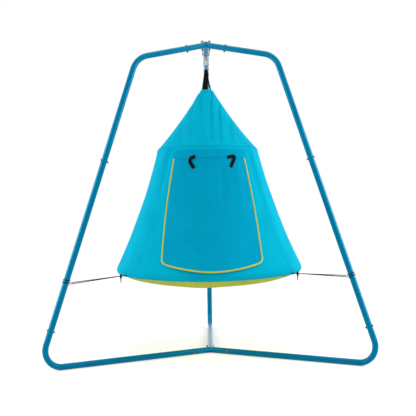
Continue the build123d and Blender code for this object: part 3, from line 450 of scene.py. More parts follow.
def sweep(name, rings, run, around, material):
    """Closed skin over rings of points, with cloth coordinates along the run and round each ring."""
    sides, last = len(rings[0]), len(rings) - 1
    faces, uvs = [], []
    for i in range(last):
        places = around(i)
        for k in range(sides):
            n = (k + 1) % sides
            faces.append((i * sides + k, i * sides + n, (i + 1) * sides + n, (i + 1) * sides + k))
            low, high = places[k], places[k + 1]
            uvs.append([(run[i], low), (run[i], high), (run[i + 1], high), (run[i + 1], low)])
    for ring, order in ((0, range(sides - 1, -1, -1)), (last, range(sides))):
        faces.append(tuple(ring * sides + k for k in order))
        uvs.append([(run[ring], 0.0)] * sides)
    return mesh_object(name, [p for ring in rings for p in ring], faces, material, uvs)


def tube(name, points, radius, material, sides=12, radii=None):
    """Closed round tube along a line, its frame carried without twist."""
    ways = directions(points)
    side = ways[0].orthogonal().normalized()
    angles = [2 * pi * k / sides for k in range(sides)]
    rings = []
    for i, (p, way) in enumerate(zip(points, ways)):
        side = (side - way * side.dot(way)).normalized()
        up = way.cross(side)
        r = radius if radii is None else radii[i]
        rings.append([p + (side * cos(a) + up * sin(a)) * r for a in angles])
    around = [2 * pi * radius * k / sides for k in range(sides + 1)]
    return sweep(name, rings, lengths(points), lambda i: around, material)


def ribbon(name, points, sideways, widths, thickness, material, edge=0.3):
    """Flat band along a line: sideways gives the way of its width at each point."""
    half = thickness / 2
    soft, cut = half * (1 - edge), half * edge
    rings = []
    for p, way, side, width in zip(points, directions(points), sideways, widths):
        across = (side - way * side.dot(way)).normalized()
        up = way.cross(across)
        w = width / 2
        section = [(-w + cut, -half), (w - cut, -half), (w, -soft), (w, soft),
                   (w - cut, half), (-w + cut, half), (-w, soft), (-w, -soft)]
        rings.append([p + across * x + up * y for x, y in section])

    def around(i):
        front, back = widths[i], widths[i] + thickness
        return [0.0, front, front, back, back, 0.0, 0.0, 0.0, 0.0]

    made = sweep(name, rings, lengths(points), around, material)
    made.data.set_sharp_from_angle(angle=radians(50))
    return made


def piping(name, points, outs, half_width, half_height, material, sides=10):
    """Rounded band along a line on the cloth: outs gives the way out of the cloth at each point."""
    angles = [-2 * pi * k / sides for k in range(sides)]
    rings = []
    for p, way, out in zip(points, directions(points), outs):
        side = way.cross(out).normalized() * half_width
        rings.append([p + side * cos(a) + out * half_height * sin(a) for a in angles])
    around = [4 * half_width * (sides - k) / sides for k in range(sides + 1)]
    return sweep(name, rings, lengths(points), lambda i: around, material)


def stitches(name, lines, material, spacing=0.0065, length=0.0044, radius=0.00036):
    """Rows of short raised threads: each line is a list of points and of the way out of the cloth there."""
    sides = 4
    points, faces = [], []
    for line, outs in lines:
        run = lengths(line)
        place, i = spacing, 0
        while place < run[-1] - spacing:
            while run[i + 1] < place:
                i += 1
            share = (place - run[i]) / (run[i + 1] - run[i])
            middle = line[i].lerp(line[i + 1], share) + outs[i] * radius * 0.4
            way = (line[i + 1] - line[i]).normalized()
            side = way.cross(outs[i]).normalized()
            up = side.cross(way)
            start = len(points)
            ring = start + 1
            points.append(middle - way * length / 2)
            for reach in (-0.3, 0.3):
                for k in range(sides):
                    a = 2 * pi * k / sides
                    points.append(middle + way * length * reach + (side * cos(a) + up * sin(a)) * radius)
            points.append(middle + way * length / 2)
            for k in range(sides):
                n = (k + 1) % sides
                faces.append((start, ring + n, ring + k))
                faces.append((ring + k, ring + n, ring + sides + n, ring + sides + k))
                faces.append((ring + sides + k, ring + sides + n, ring + 2 * sides))
            place += spacing
    return mesh_object(name, points, faces, material)


# Den surface


FOOT_NORMAL = Vector((cos(WALL_FLARE), sin(WALL_FLARE)))
WALL_FOOT = RIM + FOOT_NORMAL * RIM_WRAP
WALL_CHORD = SHOULDER - WALL_FOOT
WALL_BEND = WALL_CHORD.dot(WALL_CHORD) / (2 * WALL_CHORD.dot(FOOT_NORMAL))
WALL_CENTRE = WALL_FOOT + FOOT_NORMAL * WALL_BEND
ROOF_CHORD = SHOULDER - NECK
ROOF_NORMAL = Vector((-ROOF_CHORD.y, ROOF_CHORD.x)).normalized()
FLOOR_BEND = (FLOOR_RIM.x**2 + FLOOR_SAG**2) / (2 * FLOOR_SAG)


def wall_line(height):
    """Reach of the wall's line at a height, and the way out of it."""
    if height < WALL_FOOT.y:
        rise = (height - RIM.y) / RIM_WRAP
        out = Vector((sqrt(1 - rise * rise), rise))
        return RIM.x + RIM_WRAP * out.x, out
    reach = WALL_CENTRE.x - sqrt(WALL_BEND**2 - (height - WALL_CENTRE.y) ** 2)
    return reach, (WALL_CENTRE - Vector((reach, height))).normalized()


# Folds that hang from the shoulder: azimuth, half width in degrees, depth and how far down the wall they run
WALL_FOLDS = (
    (225.0, 2.6, -0.0060, 0.50), (217.0, 3.4, 0.0045, 0.60), (233.0, 3.0, 0.0025, 0.35),
    (320.5, 2.6, -0.0055, 0.65), (328.5, 3.4, 0.0045, 0.70), (337.0, 3.0, -0.0030, 0.50),
    (205.0, 4.0, -0.0030, 0.55), (5.0, 4.0, 0.0035, 0.60), (60.0, 4.0, -0.0040, 0.55),
    (45.0, 4.0, 0.0035, 0.50), (100.0, 5.0, 0.0035, 0.60), (128.0, 3.4, -0.0045, 0.55),
    (142.0, 3.4, 0.0040, 0.60), (176.0, 5.0, -0.0030, 0.5),
)
WALL_HANG = 0.0011
WALL_DRIFT = 0.0030


def wall_push(azimuth, height):
    """How far the wall cloth stands off its line: folds that hang from the shoulder and run out."""
    t = (SHOULDER.y - height) / (SHOULDER.y - WALL_FOOT.y)
    between = max(0.0, sin(pi * min(1.0, max(0.0, t))))
    turn = radians(azimuth)
    hang = (sin(7 * turn + 0.6) + 0.8 * sin(11 * turn + 2.1) + 0.6 * sin(17 * turn + 4.0)) * WALL_HANG
    fade = ease(t / 0.10) * (1.0 - 0.7 * ease((t - 0.45) / 0.5))
    drift = noise.noise(at(azimuth, 1.6, height * 2.4) * 1.9) * WALL_DRIFT * between
    folds = 0.0
    for middle, width, depth, down in WALL_FOLDS:
        runs_out = 1.0 - ease((t - 0.4 * down) / (0.6 * down))
        folds += depth * bump(turn_between(azimuth, middle), width) * ease(t / 0.05) * runs_out
    return hang * fade + drift + folds


# Folds down the roof's sides and back: azimuth, half width in degrees and depth
ROOF_FOLDS = (
    (20.0, 5.0, 0.0040), (34.0, 4.0, -0.0035), (75.0, 5.0, 0.0035), (90.0, 4.0, -0.0040),
    (112.0, 5.0, 0.0035), (165.0, 5.0, 0.0040), (178.0, 4.0, -0.0040), (200.0, 5.0, 0.0035),
)
# Folds that hang straight down the roof's front: place to the right of its middle, half width and depth
ROOF_DRAPES = (
    (-0.170, 0.016, -0.0035), (-0.100, 0.014, -0.0030), (-0.062, 0.012, 0.0025), (-0.030, 0.009, -0.0040),
    (-0.008, 0.010, 0.0030), (0.030, 0.008, -0.0050), (0.046, 0.009, 0.0035), (0.084, 0.009, -0.0050),
    (0.104, 0.011, 0.0035), (0.150, 0.014, -0.0040), (0.180, 0.014, 0.0030),
)
ROOF_GATHER = 0.0012
ROOF_DRIFT = 0.0020


def roof_push(azimuth, height):
    """How far the roof cloth stands off its line: gathers at the neck that run out down the roof."""
    t = (height - SHOULDER.y) / (NECK.y - SHOULDER.y)
    between = max(0.0, sin(pi * min(1.0, max(0.0, t))))
    turn = radians(azimuth)
    gather = (sin(9 * turn + 1.0) + 0.7 * sin(14 * turn + 0.3)) * ROOF_GATHER * ease(t / 0.9)
    long_folds = sum(depth * bump(turn_between(azimuth, fold), width) for fold, width, depth in ROOF_FOLDS)
    reach = SHOULDER.x + (NECK.x - SHOULDER.x) * t
    if sin(turn) < 0.0:
        drapes = sum(depth * bump(reach * cos(turn) - place, width) for place, width, depth in ROOF_DRAPES)
        long_folds += drapes * ease(-sin(turn) / 0.5)
    held = ease(t / 0.16) * ease((1.0 - t) / 0.12)
    drift = noise.noise(at(azimuth, 1.5, height * 2.6) * 2.0) * ROOF_DRIFT
    return gather + long_folds * held + drift * between


HOOP_SAG = 0.010
SAG_HEIGHT = 0.30


def rim_sag(azimuth, height):
    """How far the rim and the cloth near it sink between the three straps that carry the rim."""
    between = (1.0 - cos(radians(3.0 * (azimuth - LEGS["back"])))) / 2
    return HOOP_SAG * between * ease(1.0 - (height - RIM.y) / SAG_HEIGHT)


SEAM_RISE = 0.0009
SEAM_HALF_WIDTH = 0.006
BAND_RISE = 0.0012
BAND_HALF = 0.020


def seam_rise(azimuth, reach):
    """Raised fold of cloth along each panel seam."""
    nearest = min(abs(radians(turn_between(azimuth, seam))) * reach for seam in SEAMS)
    return SEAM_RISE * (1.0 - ease((nearest - SEAM_HALF_WIDTH) / 0.002))


def band_rise(distance):
    """Raised pocket of the shoulder hoop, by the distance from the shoulder along the cloth."""
    return BAND_RISE * (1.0 - ease((distance - BAND_HALF) / 0.003))


REGULAR_COLUMNS = 216
SEAM_OFFSETS = (-0.0085, -0.0068, -0.0045, 0.0, 0.0045, 0.0068, 0.0085)
regular = [360.0 * k / REGULAR_COLUMNS for k in range(REGULAR_COLUMNS)]
by_seam = [(seam + degrees(offset / RIM.x)) % 360.0 for seam in SEAMS for offset in SEAM_OFFSETS]
AZIMUTHS = sorted(by_seam + [a for a in regular if min(abs(turn_between(a, s)) for s in by_seam) > 0.5])


WALL_ROW = 0.0115
CLOSE_ROW = 0.004
CLOSE_DEPTH = 0.030
FOOT_ROW = 0.006


def wall_rows():
    """Heights of the wall's rows, close together at the shoulder."""
    heights, height = [], SHOULDER.y
    while height > WALL_FOOT.y + FOOT_ROW:
        heights.append(height)
        height -= CLOSE_ROW if SHOULDER.y - height < CLOSE_DEPTH else WALL_ROW
    return heights


WALL_HEIGHTS = wall_rows()


def stood_off(azimuth, here, out, layer, sag=0.0):
    """Point a layer off a line of the den and sunk by a sag, and the way out of the cloth there."""
    place = here + out * layer
    return at(azimuth, place.x, place.y - sag), at(azimuth, out.x, out.y)


def on_wall(azimuth, height):
    """Point of the wall's outer side, and the way out of it."""
    reach, out = wall_line(height)
    here = Vector((reach, height))
    band = band_rise((SHOULDER - here).length)
    layer = SKIN_OUT + wall_push(azimuth, height) + seam_rise(azimuth, reach) + band
    return stood_off(azimuth, here, out, layer, rim_sag(azimuth, height))


RIM_PUCKER = 0.0006
RIM_DRIFT = 0.0012


def on_rim(azimuth, share):
    """Point of the rim's sleeve, from the foot of the wall to the hem, and the way out of it."""
    angle = WALL_FLARE + (HEM_ANGLE - WALL_FLARE) * share
    out = Vector((cos(angle), sin(angle)))
    turn = radians(azimuth)
    pucker = RIM_PUCKER * sin(turn * 46 + 3 * sin(turn * 5)) * ease((share - 0.4) / 0.6)
    drift = RIM_DRIFT * noise.noise(at(azimuth, 3.0, angle))
    layer = RIM_WRAP + SKIN_OUT + seam_rise(azimuth, RIM.x) + pucker + drift
    return stood_off(azimuth, RIM, out, layer, rim_sag(azimuth, RIM.y))


NECK_ROLL = 0.0045


def on_roof(azimuth, share):
    """Point of the roof's outer side, from the neck down to the shoulder, and the way out of it.

    A share below 0 is on the rolled hem of the neck, at -1 on its inner side.
    """
    down = max(0.0, share)
    here = NECK + ROOF_CHORD * down - ROOF_NORMAL * 4 * ROOF_HOLLOW * down * (1 - down)
    band = band_rise((SHOULDER - here).length)
    layer = SKIN_OUT + roof_push(azimuth, here.y) + seam_rise(azimuth, here.x) + band
    out = ROOF_NORMAL
    if share < 0.0:
        turn = -share * pi / 2
        out = ROOF_NORMAL * cos(turn) - ROOF_CHORD.normalized() * sin(turn)
        here = here + (out - ROOF_NORMAL) * NECK_ROLL
        layer *= cos(turn)
    return stood_off(azimuth, here, out, layer)


RIM_ROWS = 15
rim_shares = [step / RIM_ROWS for step in range(RIM_ROWS + 1)]
skirt_rows = [[on_wall(azimuth, height)[0] for azimuth in AZIMUTHS] for height in WALL_HEIGHTS]
skirt_rows += [[on_rim(azimuth, share)[0] for azimuth in AZIMUTHS] for share in rim_shares]
skirt_run = lengths([row[0] for row in skirt_rows])


def cloth_place(run_at, reach):
    """Cloth coordinates of a ring's points: round the den, and down the cloth."""
    def place(r, c):
        turn = AZIMUTHS[c] if c < len(AZIMUTHS) else AZIMUTHS[0] + 360.0
        return (radians(turn) * reach, -run_at[r])
    return place


# Door outline in the door's own plane: sideways from its middle, and height


def arc_through(a, middle, b, count):
    """Points of the circular arc through three points."""
    ax, ay, bx, by, cx, cy = *a, *middle, *b
    d = 2 * (ax * (by - cy) + bx * (cy - ay) + cx * (ay - by))
    ux = ((ax**2 + ay**2) * (by - cy) + (bx**2 + by**2) * (cy - ay) + (cx**2 + cy**2) * (ay - by)) / d
    uy = ((ax**2 + ay**2) * (cx - bx) + (bx**2 + by**2) * (ax - cx) + (cx**2 + cy**2) * (bx - ax)) / d
    radius = hypot(ax - ux, ay - uy)
    start, end = atan2(ay - uy, ax - ux), atan2(cy - uy, cx - ux)
    span = (end - start + pi) % (2 * pi) - pi
    angles = [start + span * k / count for k in range(count + 1)]
    return [Vector((ux + radius * cos(t), uy + radius * sin(t))) for t in angles]


def rounded(first, second, cut):
    """Two lines that meet at a corner, with the corner rounded off."""
    corner = first[-1]
    head = [p for p in first if (p - corner).length > cut]
    tail = [p for p in second if (p - corner).length > cut]
    a, b = head[-1], tail[0]
    half = 5
    shares = [k / (2 * half) for k in range(1, 2 * half)]
    turn = [a * (1 - s) ** 2 + corner * 2 * s * (1 - s) + b * s**2 for s in shares]
    return head + turn[:half], turn[half - 1 :] + tail


def door_sides(inset=0.0):
    """Left side, bottom and right side of the door's outline, drawn in by an inset."""
    top, corner = DOOR_TOP, DOOR_CORNER_HEIGHT
    bulge = (DOOR_TOP_HALF + DOOR_BOTTOM_HALF) / 2 + DOOR_BOW
    half_top, half_bottom, middle = DOOR_TOP_HALF - inset, DOOR_BOTTOM_HALF - inset, (top + corner) / 2
    low = corner + inset
    right = arc_through((half_top, top), (bulge - inset, middle), (half_bottom, low), 60)
    bottom = arc_through((half_bottom, low), (0.0, low - DOOR_DIP), (-half_bottom, low), 80)
    left = [Vector((-p.x, p.y)) for p in reversed(right)]
    right, bottom = rounded(right, bottom, DOOR_ROUNDING)
    bottom, left = rounded(bottom, left, DOOR_ROUNDING)
    return [list(reversed(left)), list(reversed(bottom)), right]


def spaced(line, count):
    """Points evenly spaced along a line."""
    run = lengths(line)
    made, i = [], 0
    for k in range(count + 1):
        place = run[-1] * k / count
        while i < len(line) - 2 and run[i + 1] < place:
            i += 1
        span = run[i + 1] - run[i]
        made.append(line[i].lerp(line[i + 1], min(1.0, (place - run[i]) / span)))
    return made


def on_door(place, layer):
    """Point over the wall for a place in the door's plane, and the way out of the cloth there."""
    reach, out = wall_line(place.y)
    point = Vector((reach, place.y)) + out * layer
    azimuth = DOOR_AZIMUTH + asin(place.x / point.x)
    turned = Vector((out.x * cos(azimuth), out.x * sin(azimuth), out.y))
    return Vector((point.x * cos(azimuth), point.x * sin(azimuth), point.y)), turned


def door_place(azimuth, height):
    """Place in the door's plane of a point of the wall."""
    reach, _ = wall_line(height)
    turn = turn_between(azimuth, degrees(DOOR_AZIMUTH))
    if abs(turn) > 80.0:
        return None
    return Vector((reach * sin(radians(turn)), height))


def edges(outline):
    """Pairs of neighbours round a closed outline."""
    return zip(outline, [*outline[1:], outline[0]])


def inside(place, outline):
    """Whether a place lies inside a closed outline."""
    found = False
    for a, b in edges(outline):
        if (a.y > place.y) != (b.y > place.y):
            if place.x < a.x + (place.y - a.y) / (b.y - a.y) * (b.x - a.x):
                found = not found
    return found


def nearest_on(place, outline):
    """Nearest place on a closed outline."""
    best, best_gap = None, 1e9
    for a, b in edges(outline):
        side = b - a
        share = min(1.0, max(0.0, (place - a).dot(side) / max(side.length_squared, 1e-12)))
        here = a + side * share
        gap = (here - place).length
        if gap < best_gap:
            best, best_gap = here, gap
    return best


def doorway_outline():
    """Closed outline of the doorway, the flap's outline drawn in by its lap."""
    left, bottom, right = door_sides(DOORWAY_LAP)
    outline = []
    for p in [*left, *bottom, *reversed(right)]:
        up = (p.y - DOOR_CORNER_HEIGHT) / (DOOR_TOP - DOOR_CORNER_HEIGHT)
        outline.append(Vector((p.x, p.y - DOORWAY_LAP * up)))
    return outline


DOORWAY = doorway_outline()


def at_doorway(place, lift):
    """Point of the wall's cloth for a place in the door's plane, and the way out of it."""
    reach, out = wall_line(place.y)
    azimuth = degrees(DOOR_AZIMUTH + asin(place.x / reach))
    here = Vector((reach, place.y)) + out * (lift + wall_push(azimuth, place.y))
    return at(azimuth, here.x, here.y - rim_sag(azimuth, here.y)), at(azimuth, out.x, out.y)


# Roof, skirt and rim


ROOF_STEPS = 58
ROLL_STEPS = 5
roof_shares = [step / ROLL_STEPS for step in range(-ROLL_STEPS, 0)]
roof_shares += [step / ROOF_STEPS for step in range(ROOF_STEPS + 1)]
roof_rows = [[on_roof(azimuth, share)[0] for azimuth in AZIMUTHS] for share in roof_shares]
roof_run = lengths([row[0] for row in roof_rows])
roof = grid("den_roof", roof_rows, SKIN_FABRIC, cloth_place(roof_run, SHOULDER.x), ring=True)
thicken(roof, CLOTH, -1.0)
dress(roof, "skin_fabric", "roof_front", "roof_right", "roof_back", "roof_left")

wall_count = len(WALL_HEIGHTS)
in_doorway = []
for height in WALL_HEIGHTS:
    places = [door_place(azimuth, height) for azimuth in AZIMUTHS]
    in_doorway.append([p is not None and inside(p, DOORWAY) for p in places])


def keep_face(r, c):
    """Whether a face of the skirt stays: not where one of its corners is in the doorway."""
    around = (c, (c + 1) % len(AZIMUTHS))
    return r + 1 >= wall_count or not any(in_doorway[i][j] for i in (r, r + 1) for j in around)


def snap_to_doorway():
    """Moves the cloth's points beside the doorway on to its outline."""
    across = len(AZIMUTHS)
    for r in range(wall_count):
        for c in range(across):
            if in_doorway[r][c]:
                continue
            around = [(r + i, (c + j) % across) for i in (-1, 0, 1) for j in (-1, 0, 1)]
            if not any(0 <= i < wall_count and in_doorway[i][j] for i, j in around):
                continue
            place = nearest_on(door_place(AZIMUTHS[c], WALL_HEIGHTS[r]), DOORWAY)
            skirt_rows[r][c] = at_doorway(place, SKIN_OUT)[0]


snap_to_doorway()
skirt = grid("den_skirt", skirt_rows, SKIN_FABRIC, cloth_place(skirt_run, RIM.x), ring=True, keep=keep_face)
thicken(skirt, CLOTH, -1.0)
dress(skirt, "skin_fabric", "wall_front", "wall_right", "wall_back", "wall_left", "rim_sleeve")
DOORWAY_AREA = abs(sum(a.x * b.y - b.x * a.y for a, b in edges(DOORWAY))) / 2
skirt_line = [Vector((hypot(row[0].x, row[0].y), row[0].z)) for row in skirt_rows]
SKIRT_AREA = sum(2 * pi * (a.x + b.x) / 2 * (a - b).length for a, b in zip(skirt_line, skirt_line[1:]))
SKIRT_AREA -= DOORWAY_AREA

# Foam round the rim, the floor cloth and the mat


def all_round(count, surface, *place):
    """Points of a surface at evenly spaced azimuths."""
    return [surface(360.0 * k / count, *place) for k in range(count)]


RIM_SIDES = 28
FOAM_COLUMNS = 180
JOINT_GROOVE = 0.0016
JOINT_HALF_WIDTH = 1.2
FOAM_DENT = 0.0006


def on_foam(azimuth, angle):
    """Point of the foam at an angle round its tube, with a groove at each joint and small dents."""
    joint = max(bump(turn_between(azimuth, leg), JOINT_HALF_WIDTH) for leg in LEGS.values())
    dents = FOAM_DENT * noise.noise(at(azimuth, 9.0, angle * 0.7))
    radius = RIM_PAD_RADIUS - JOINT_GROOVE * joint - abs(dents)
    height = RIM.y + radius * sin(angle) - rim_sag(azimuth, RIM.y)
    return at(azimuth, RIM.x + radius * cos(angle), height)


def foam_place(r, c):
    """Coordinates on the foam: round the den, and round the tube of foam."""
    return (2 * pi * RIM.x * c / FOAM_COLUMNS, 2 * pi * RIM_PAD_RADIUS * r / RIM_SIDES)


foam_angles = [2 * pi * step / RIM_SIDES for step in range(RIM_SIDES + 1)]
foam_rows = [all_round(FOAM_COLUMNS, on_foam, angle)[::-1] for angle in foam_angles]
foam = grid("rim_foam", foam_rows, FOAM, foam_place, ring=True)
weld(foam)
bake(foam)
dress(foam, "foam", "rim_pad_1", "rim_pad_2", "rim_pad_3")


FLOOR_STEPS = 44
FLOOR_COLUMNS = 180
FLOOR_EDGE = 0.5722
FLOOR_BAG = 0.007
FLOOR_PUCKER = 0.0011
FLOOR_SLACK = 0.004


def floor_height(azimuth, reach):
    """Height of the floor cloth's line, which sinks with the rim between the straps."""
    line = FLOOR_RIM.y - FLOOR_SAG + FLOOR_BEND - sqrt(FLOOR_BEND**2 - min(reach, FLOOR_RIM.x) ** 2)
    edge = reach / FLOOR_EDGE
    bag = FLOOR_BAG * ease((edge - 0.4) / 0.45) * (1 - ease((edge - 0.9) / 0.1))
    return line - bag - rim_sag(azimuth, RIM.y) * ease((edge - 0.3) / 0.7)


def on_floor(azimuth, reach):
    """Point of the floor cloth, puckered beside the rim and slack further in."""
    turn, edge = radians(azimuth), reach / FLOOR_EDGE
    held = ease((edge - 0.62) / 0.3) * (1 - ease((edge - 0.96) / 0.03))
    pucker = FLOOR_PUCKER * sin(37 * turn + 2 * sin(4 * turn)) * held
    slack = FLOOR_SLACK * noise.noise(at(azimuth, reach * 5.0, 3.0)) * (1 - ease((edge - 0.85) / 0.12))
    return at(azimuth, reach, floor_height(azimuth, reach) + pucker + slack)


floor_reaches = [FLOOR_EDGE * (1 - step / FLOOR_STEPS) for step in range(FLOOR_STEPS)]
floor_rows = [all_round(FLOOR_COLUMNS, on_floor, reach) for reach in floor_reaches]
floor_rows.append([Vector((0.0, 0.0, floor_height(0.0, 0.0)))] * FLOOR_COLUMNS)


def disc_place(reach, share):
    """Cloth coordinates of a disc as seen from above, at a reach and a share of the turn."""
    return (reach * cos(2 * pi * share), reach * sin(2 * pi * share))


def floor_place(r, c):
    """Coordinates of the floor cloth."""
    return disc_place(FLOOR_EDGE * (1 - r / FLOOR_STEPS), c / FLOOR_COLUMNS)


floor_cloth = grid("floor_cloth", floor_rows, FLOOR_FABRIC, floor_place, ring=True)
weld(floor_cloth)
thicken(floor_cloth, CLOTH, 0.0)
dress(floor_cloth, "floor_fabric", "floor_panel")

QUILT = 0.075
MAT_STEPS = 60
MAT_COLUMNS = 150


def mat_thickness(reach, x, y):
    """Thickness of the quilted mat: a crowned disc, drawn down along crossing rows of stitches."""
    share = reach / MAT_REACH
    body = MAT_MIDDLE + (MAT_EDGE - MAT_MIDDLE) * share**2
    puff = abs(sin(pi * (x + y) / QUILT) * sin(pi * (x - y) / QUILT)) ** 0.5
    edge = sqrt(max(0.0, 1 - max(0.0, (share - 0.955) / 0.045) ** 2))
    return body * (0.62 + 0.38 * puff) * (0.25 + 0.75 * edge)


def under_mat(azimuth, reach):
    """Point of the mat's underside."""
    return at(azimuth, reach, floor_height(azimuth, reach) + MAT_LIFT)


def on_mat(azimuth, reach):
    """Point of the mat's top."""
    place = under_mat(azimuth, reach)
    place.z += mat_thickness(reach, place.x, place.y)
    return place


mat_reaches = [MAT_REACH * k / MAT_STEPS for k in range(MAT_STEPS + 1)]
mat_rows = [all_round(MAT_COLUMNS, under_mat, reach) for reach in mat_reaches]
mat_rows += [all_round(MAT_COLUMNS, on_mat, reach) for reach in reversed(mat_reaches)]


def mat_place(r, c):
    """Coordinates of the mat's cover."""
    return disc_place(MAT_REACH * min(r, len(mat_rows) - 1 - r) / MAT_STEPS, c / MAT_COLUMNS)


mat = grid("floor_mat_cover", mat_rows, MAT_FABRIC, mat_place, ring=True)
weld(mat)
bake(mat)
dress(mat, "mat_fabric", "floor_mat")

# Door flap, its binding, header and ties


def crease(place, start, end, width, depth):
    """Soft crease along a line in the door's plane."""
    way = end - start
    share = (place - start).dot(way) / way.length_squared
    along = ease(share / 0.25) * ease((1 - share) / 0.25)
    gap = (place - start - way * share).length
    return depth * bump(gap, width) * along


CREASES = (
    ((-0.275, 0.900), (-0.060, 0.640), 0.016, -0.0034),
    ((-0.285, 0.810), (-0.020, 0.600), 0.014, 0.0030),
    ((-0.250, 0.990), (-0.100, 0.760), 0.020, 0.0032),
    ((-0.235, 1.060), (-0.060, 0.800), 0.018, -0.0030),
    ((-0.150, 1.270), (-0.120, 0.900), 0.016, -0.0026),
    ((-0.020, 1.272), (0.010, 0.880), 0.018, 0.0030),
    ((0.070, 1.272), (0.075, 0.930), 0.015, -0.0030),
    ((0.105, 1.272), (0.125, 0.960), 0.015, 0.0026),
    ((0.165, 1.265), (0.215, 0.860), 0.017, 0.0030),
    ((0.285, 0.780), (0.090, 0.610), 0.018, -0.0026),
)
FLAP_DRIFT = 0.0030
FLAP_DEEPEST = -0.0038


def flap_push(place):
    """How far the flap's cloth stands off its layer."""
    soft = FLAP_DRIFT * noise.noise(Vector((place.x * 4.2, place.y * 2.4, 5.0)))
    creases = sum(crease(place, Vector(a), Vector(b), width, depth) for a, b, width, depth in CREASES)
    hang = ease((DOOR_TOP - place.y) / 0.06)
    return max(FLAP_DEEPEST, (soft + creases) * hang)


FLAP_ACROSS = 72
FLAP_DOWN = 84
left_line, bottom_line, right_line = door_sides()
left_side, right_side = spaced(left_line, FLAP_DOWN), spaced(right_line, FLAP_DOWN)
bottom_side = spaced(bottom_line, FLAP_ACROSS)
top_side = [left_side[0].lerp(right_side[0], k / FLAP_ACROSS) for k in range(FLAP_ACROSS + 1)]


def flap_plan(r, c):
    """Place in the door's plane of a point of the flap, spread evenly between its four sides."""
    s, t = c / FLAP_ACROSS, r / FLAP_DOWN
    sides = left_side[r] * (1 - s) + right_side[r] * s + top_side[c] * (1 - t) + bottom_side[c] * t
    tops = left_side[0].lerp(right_side[0], s)
    bottoms = left_side[-1].lerp(right_side[-1], s)
    return sides - tops.lerp(bottoms, t)


flap_plans = [[flap_plan(r, c) for c in range(FLAP_ACROSS + 1)] for r in range(FLAP_DOWN + 1)]
flap_rows = [[on_door(p, FLAP_LAYER + flap_push(p))[0] for p in row] for row in flap_plans]
# The flap takes the darker door colour: its own deeper cyan with painted shade in it.
flap = grid("door_flap_cloth", flap_rows, DOOR_FABRIC_AND_SHADE, lambda r, c: tuple(flap_plans[r][c]))
thicken(flap, CLOTH, 0.0)


def hang_on_door(piece, slot, *nodes):
    """A piece of the flap: its transform is applied and it is dressed without a body."""
    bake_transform(piece)
    dress(piece, slot, *nodes, body=None)


hang_on_door(flap, "door_fabric", "door_flap")


BINDING_HALF_WIDTH = 0.0055
BINDING_HALF_HEIGHT = 0.0026
BINDING_LAYER = FLAP_LAYER + 0.0010


def along_flap_edge(inset, layer):
    """Points and ways out along the flap's left side, bottom and right side."""
    edge = [*left_side, *bottom_side[1:-1], *reversed(right_side)]
    places = [p + Vector((-way.y, way.x)) * inset for p, way in zip(edge, directions(edge))]
    return unzip([on_door(place, layer + flap_push(place)) for place in places])


binding = piping("door_binding_tape", *along_flap_edge(BINDING_HALF_WIDTH, BINDING_LAYER), BINDING_HALF_WIDTH,
                 BINDING_HALF_HEIGHT, TRIM_FABRIC)
hang_on_door(binding, "trim_fabric", "door_binding")

HEADER_ROWS = 10
HEADER_TOP = 0.0024
HEADER_LAP = 0.004


def header_layer(height, lift):
    """How far the header stands off the wall's line: flat on the wall above, and over the flap below."""
    share = ease((DOOR_TOP + HEADER_DEPTH - height) / HEADER_DEPTH)
    return HEADER_TOP + (FLAP_LAYER + CLOTH / 2 + lift - HEADER_TOP) * share


header_rows, header_plans = [], []
for r in range(HEADER_ROWS + 1):
    height = DOOR_TOP + HEADER_DEPTH - (HEADER_DEPTH + HEADER_LAP) * r / HEADER_ROWS
    layer = header_layer(height, HEADER_CLOTH / 2)
    plans = [Vector((DOOR_TOP_HALF * (2 * c / FLAP_ACROSS - 1), height)) for c in range(FLAP_ACROSS + 1)]
    header_plans.append(plans)
    header_rows.append([on_door(p, layer)[0] for p in plans])
# The header tape is skin fabric, given the darker door colour as painted shade.
header = grid("door_header_tape", header_rows, DOOR_FABRIC_AND_SHADE, lambda r, c: tuple(header_plans[r][c]))
thicken(header, HEADER_CLOTH, 0.0)
dress(header, "skin_fabric", "door_header")

TIE_WIDTH = 0.021
TIE_WEBBING = 0.0018
TIES = {
    "left": ((-0.090, 1.284, 0.0114), (-0.110, 1.284, 0.0132), (-0.124, 1.266, 0.0150),
             (-0.122, 1.242, 0.0136), (-0.100, 1.212, 0.0116)),
    "right": ((0.112, 1.277, 0.0114), (0.142, 1.286, 0.0132), (0.160, 1.284, 0.0152),
              (0.152, 1.258, 0.0136), (0.130, 1.214, 0.0116)),
}
for side, route in TIES.items():
    line = spline_points([Vector(place) for place in route], 8)
    points, outs = unzip([on_door(Vector((p.x, p.y)), p.z) for p in line])
    across = [out.cross(way) for out, way in zip(outs, directions(points))]
    widths = [TIE_WIDTH] * len(points)
    tie = ribbon(f"door_tie_tape_{side}", points, across, widths, TIE_WEBBING, WEBBING_FABRIC)
    hang_on_door(tie, "webbing", f"door_tie_{side}")

TAPE_HALF_WIDTH = 0.007
TAPE_HALF_HEIGHT = 0.0016
TAPE_STEPS = 220
doorway_line = spaced([*DOORWAY, DOORWAY[0]], TAPE_STEPS)
tape_points, tape_outs = unzip([at_doorway(p, SKIN_OUT - CLOTH / 2) for p in doorway_line])
doorway_tape = piping("doorway_tape", tape_points, tape_outs, TAPE_HALF_WIDTH, TAPE_HALF_HEIGHT, SKIN_FABRIC)
dress(doorway_tape, "skin_fabric")

# Stitches along the seams, the shoulder band, the hem, the header and the binding


STITCH_GAP = 0.0032
BAND_STITCH = 0.017
HEM_STITCH = 0.93
HEADER_STITCHES = (0.006, 0.012)
BINDING_STITCH = 0.0088
BINDING_STITCH_LAYER = BINDING_LAYER + BINDING_HALF_HEIGHT * 0.78


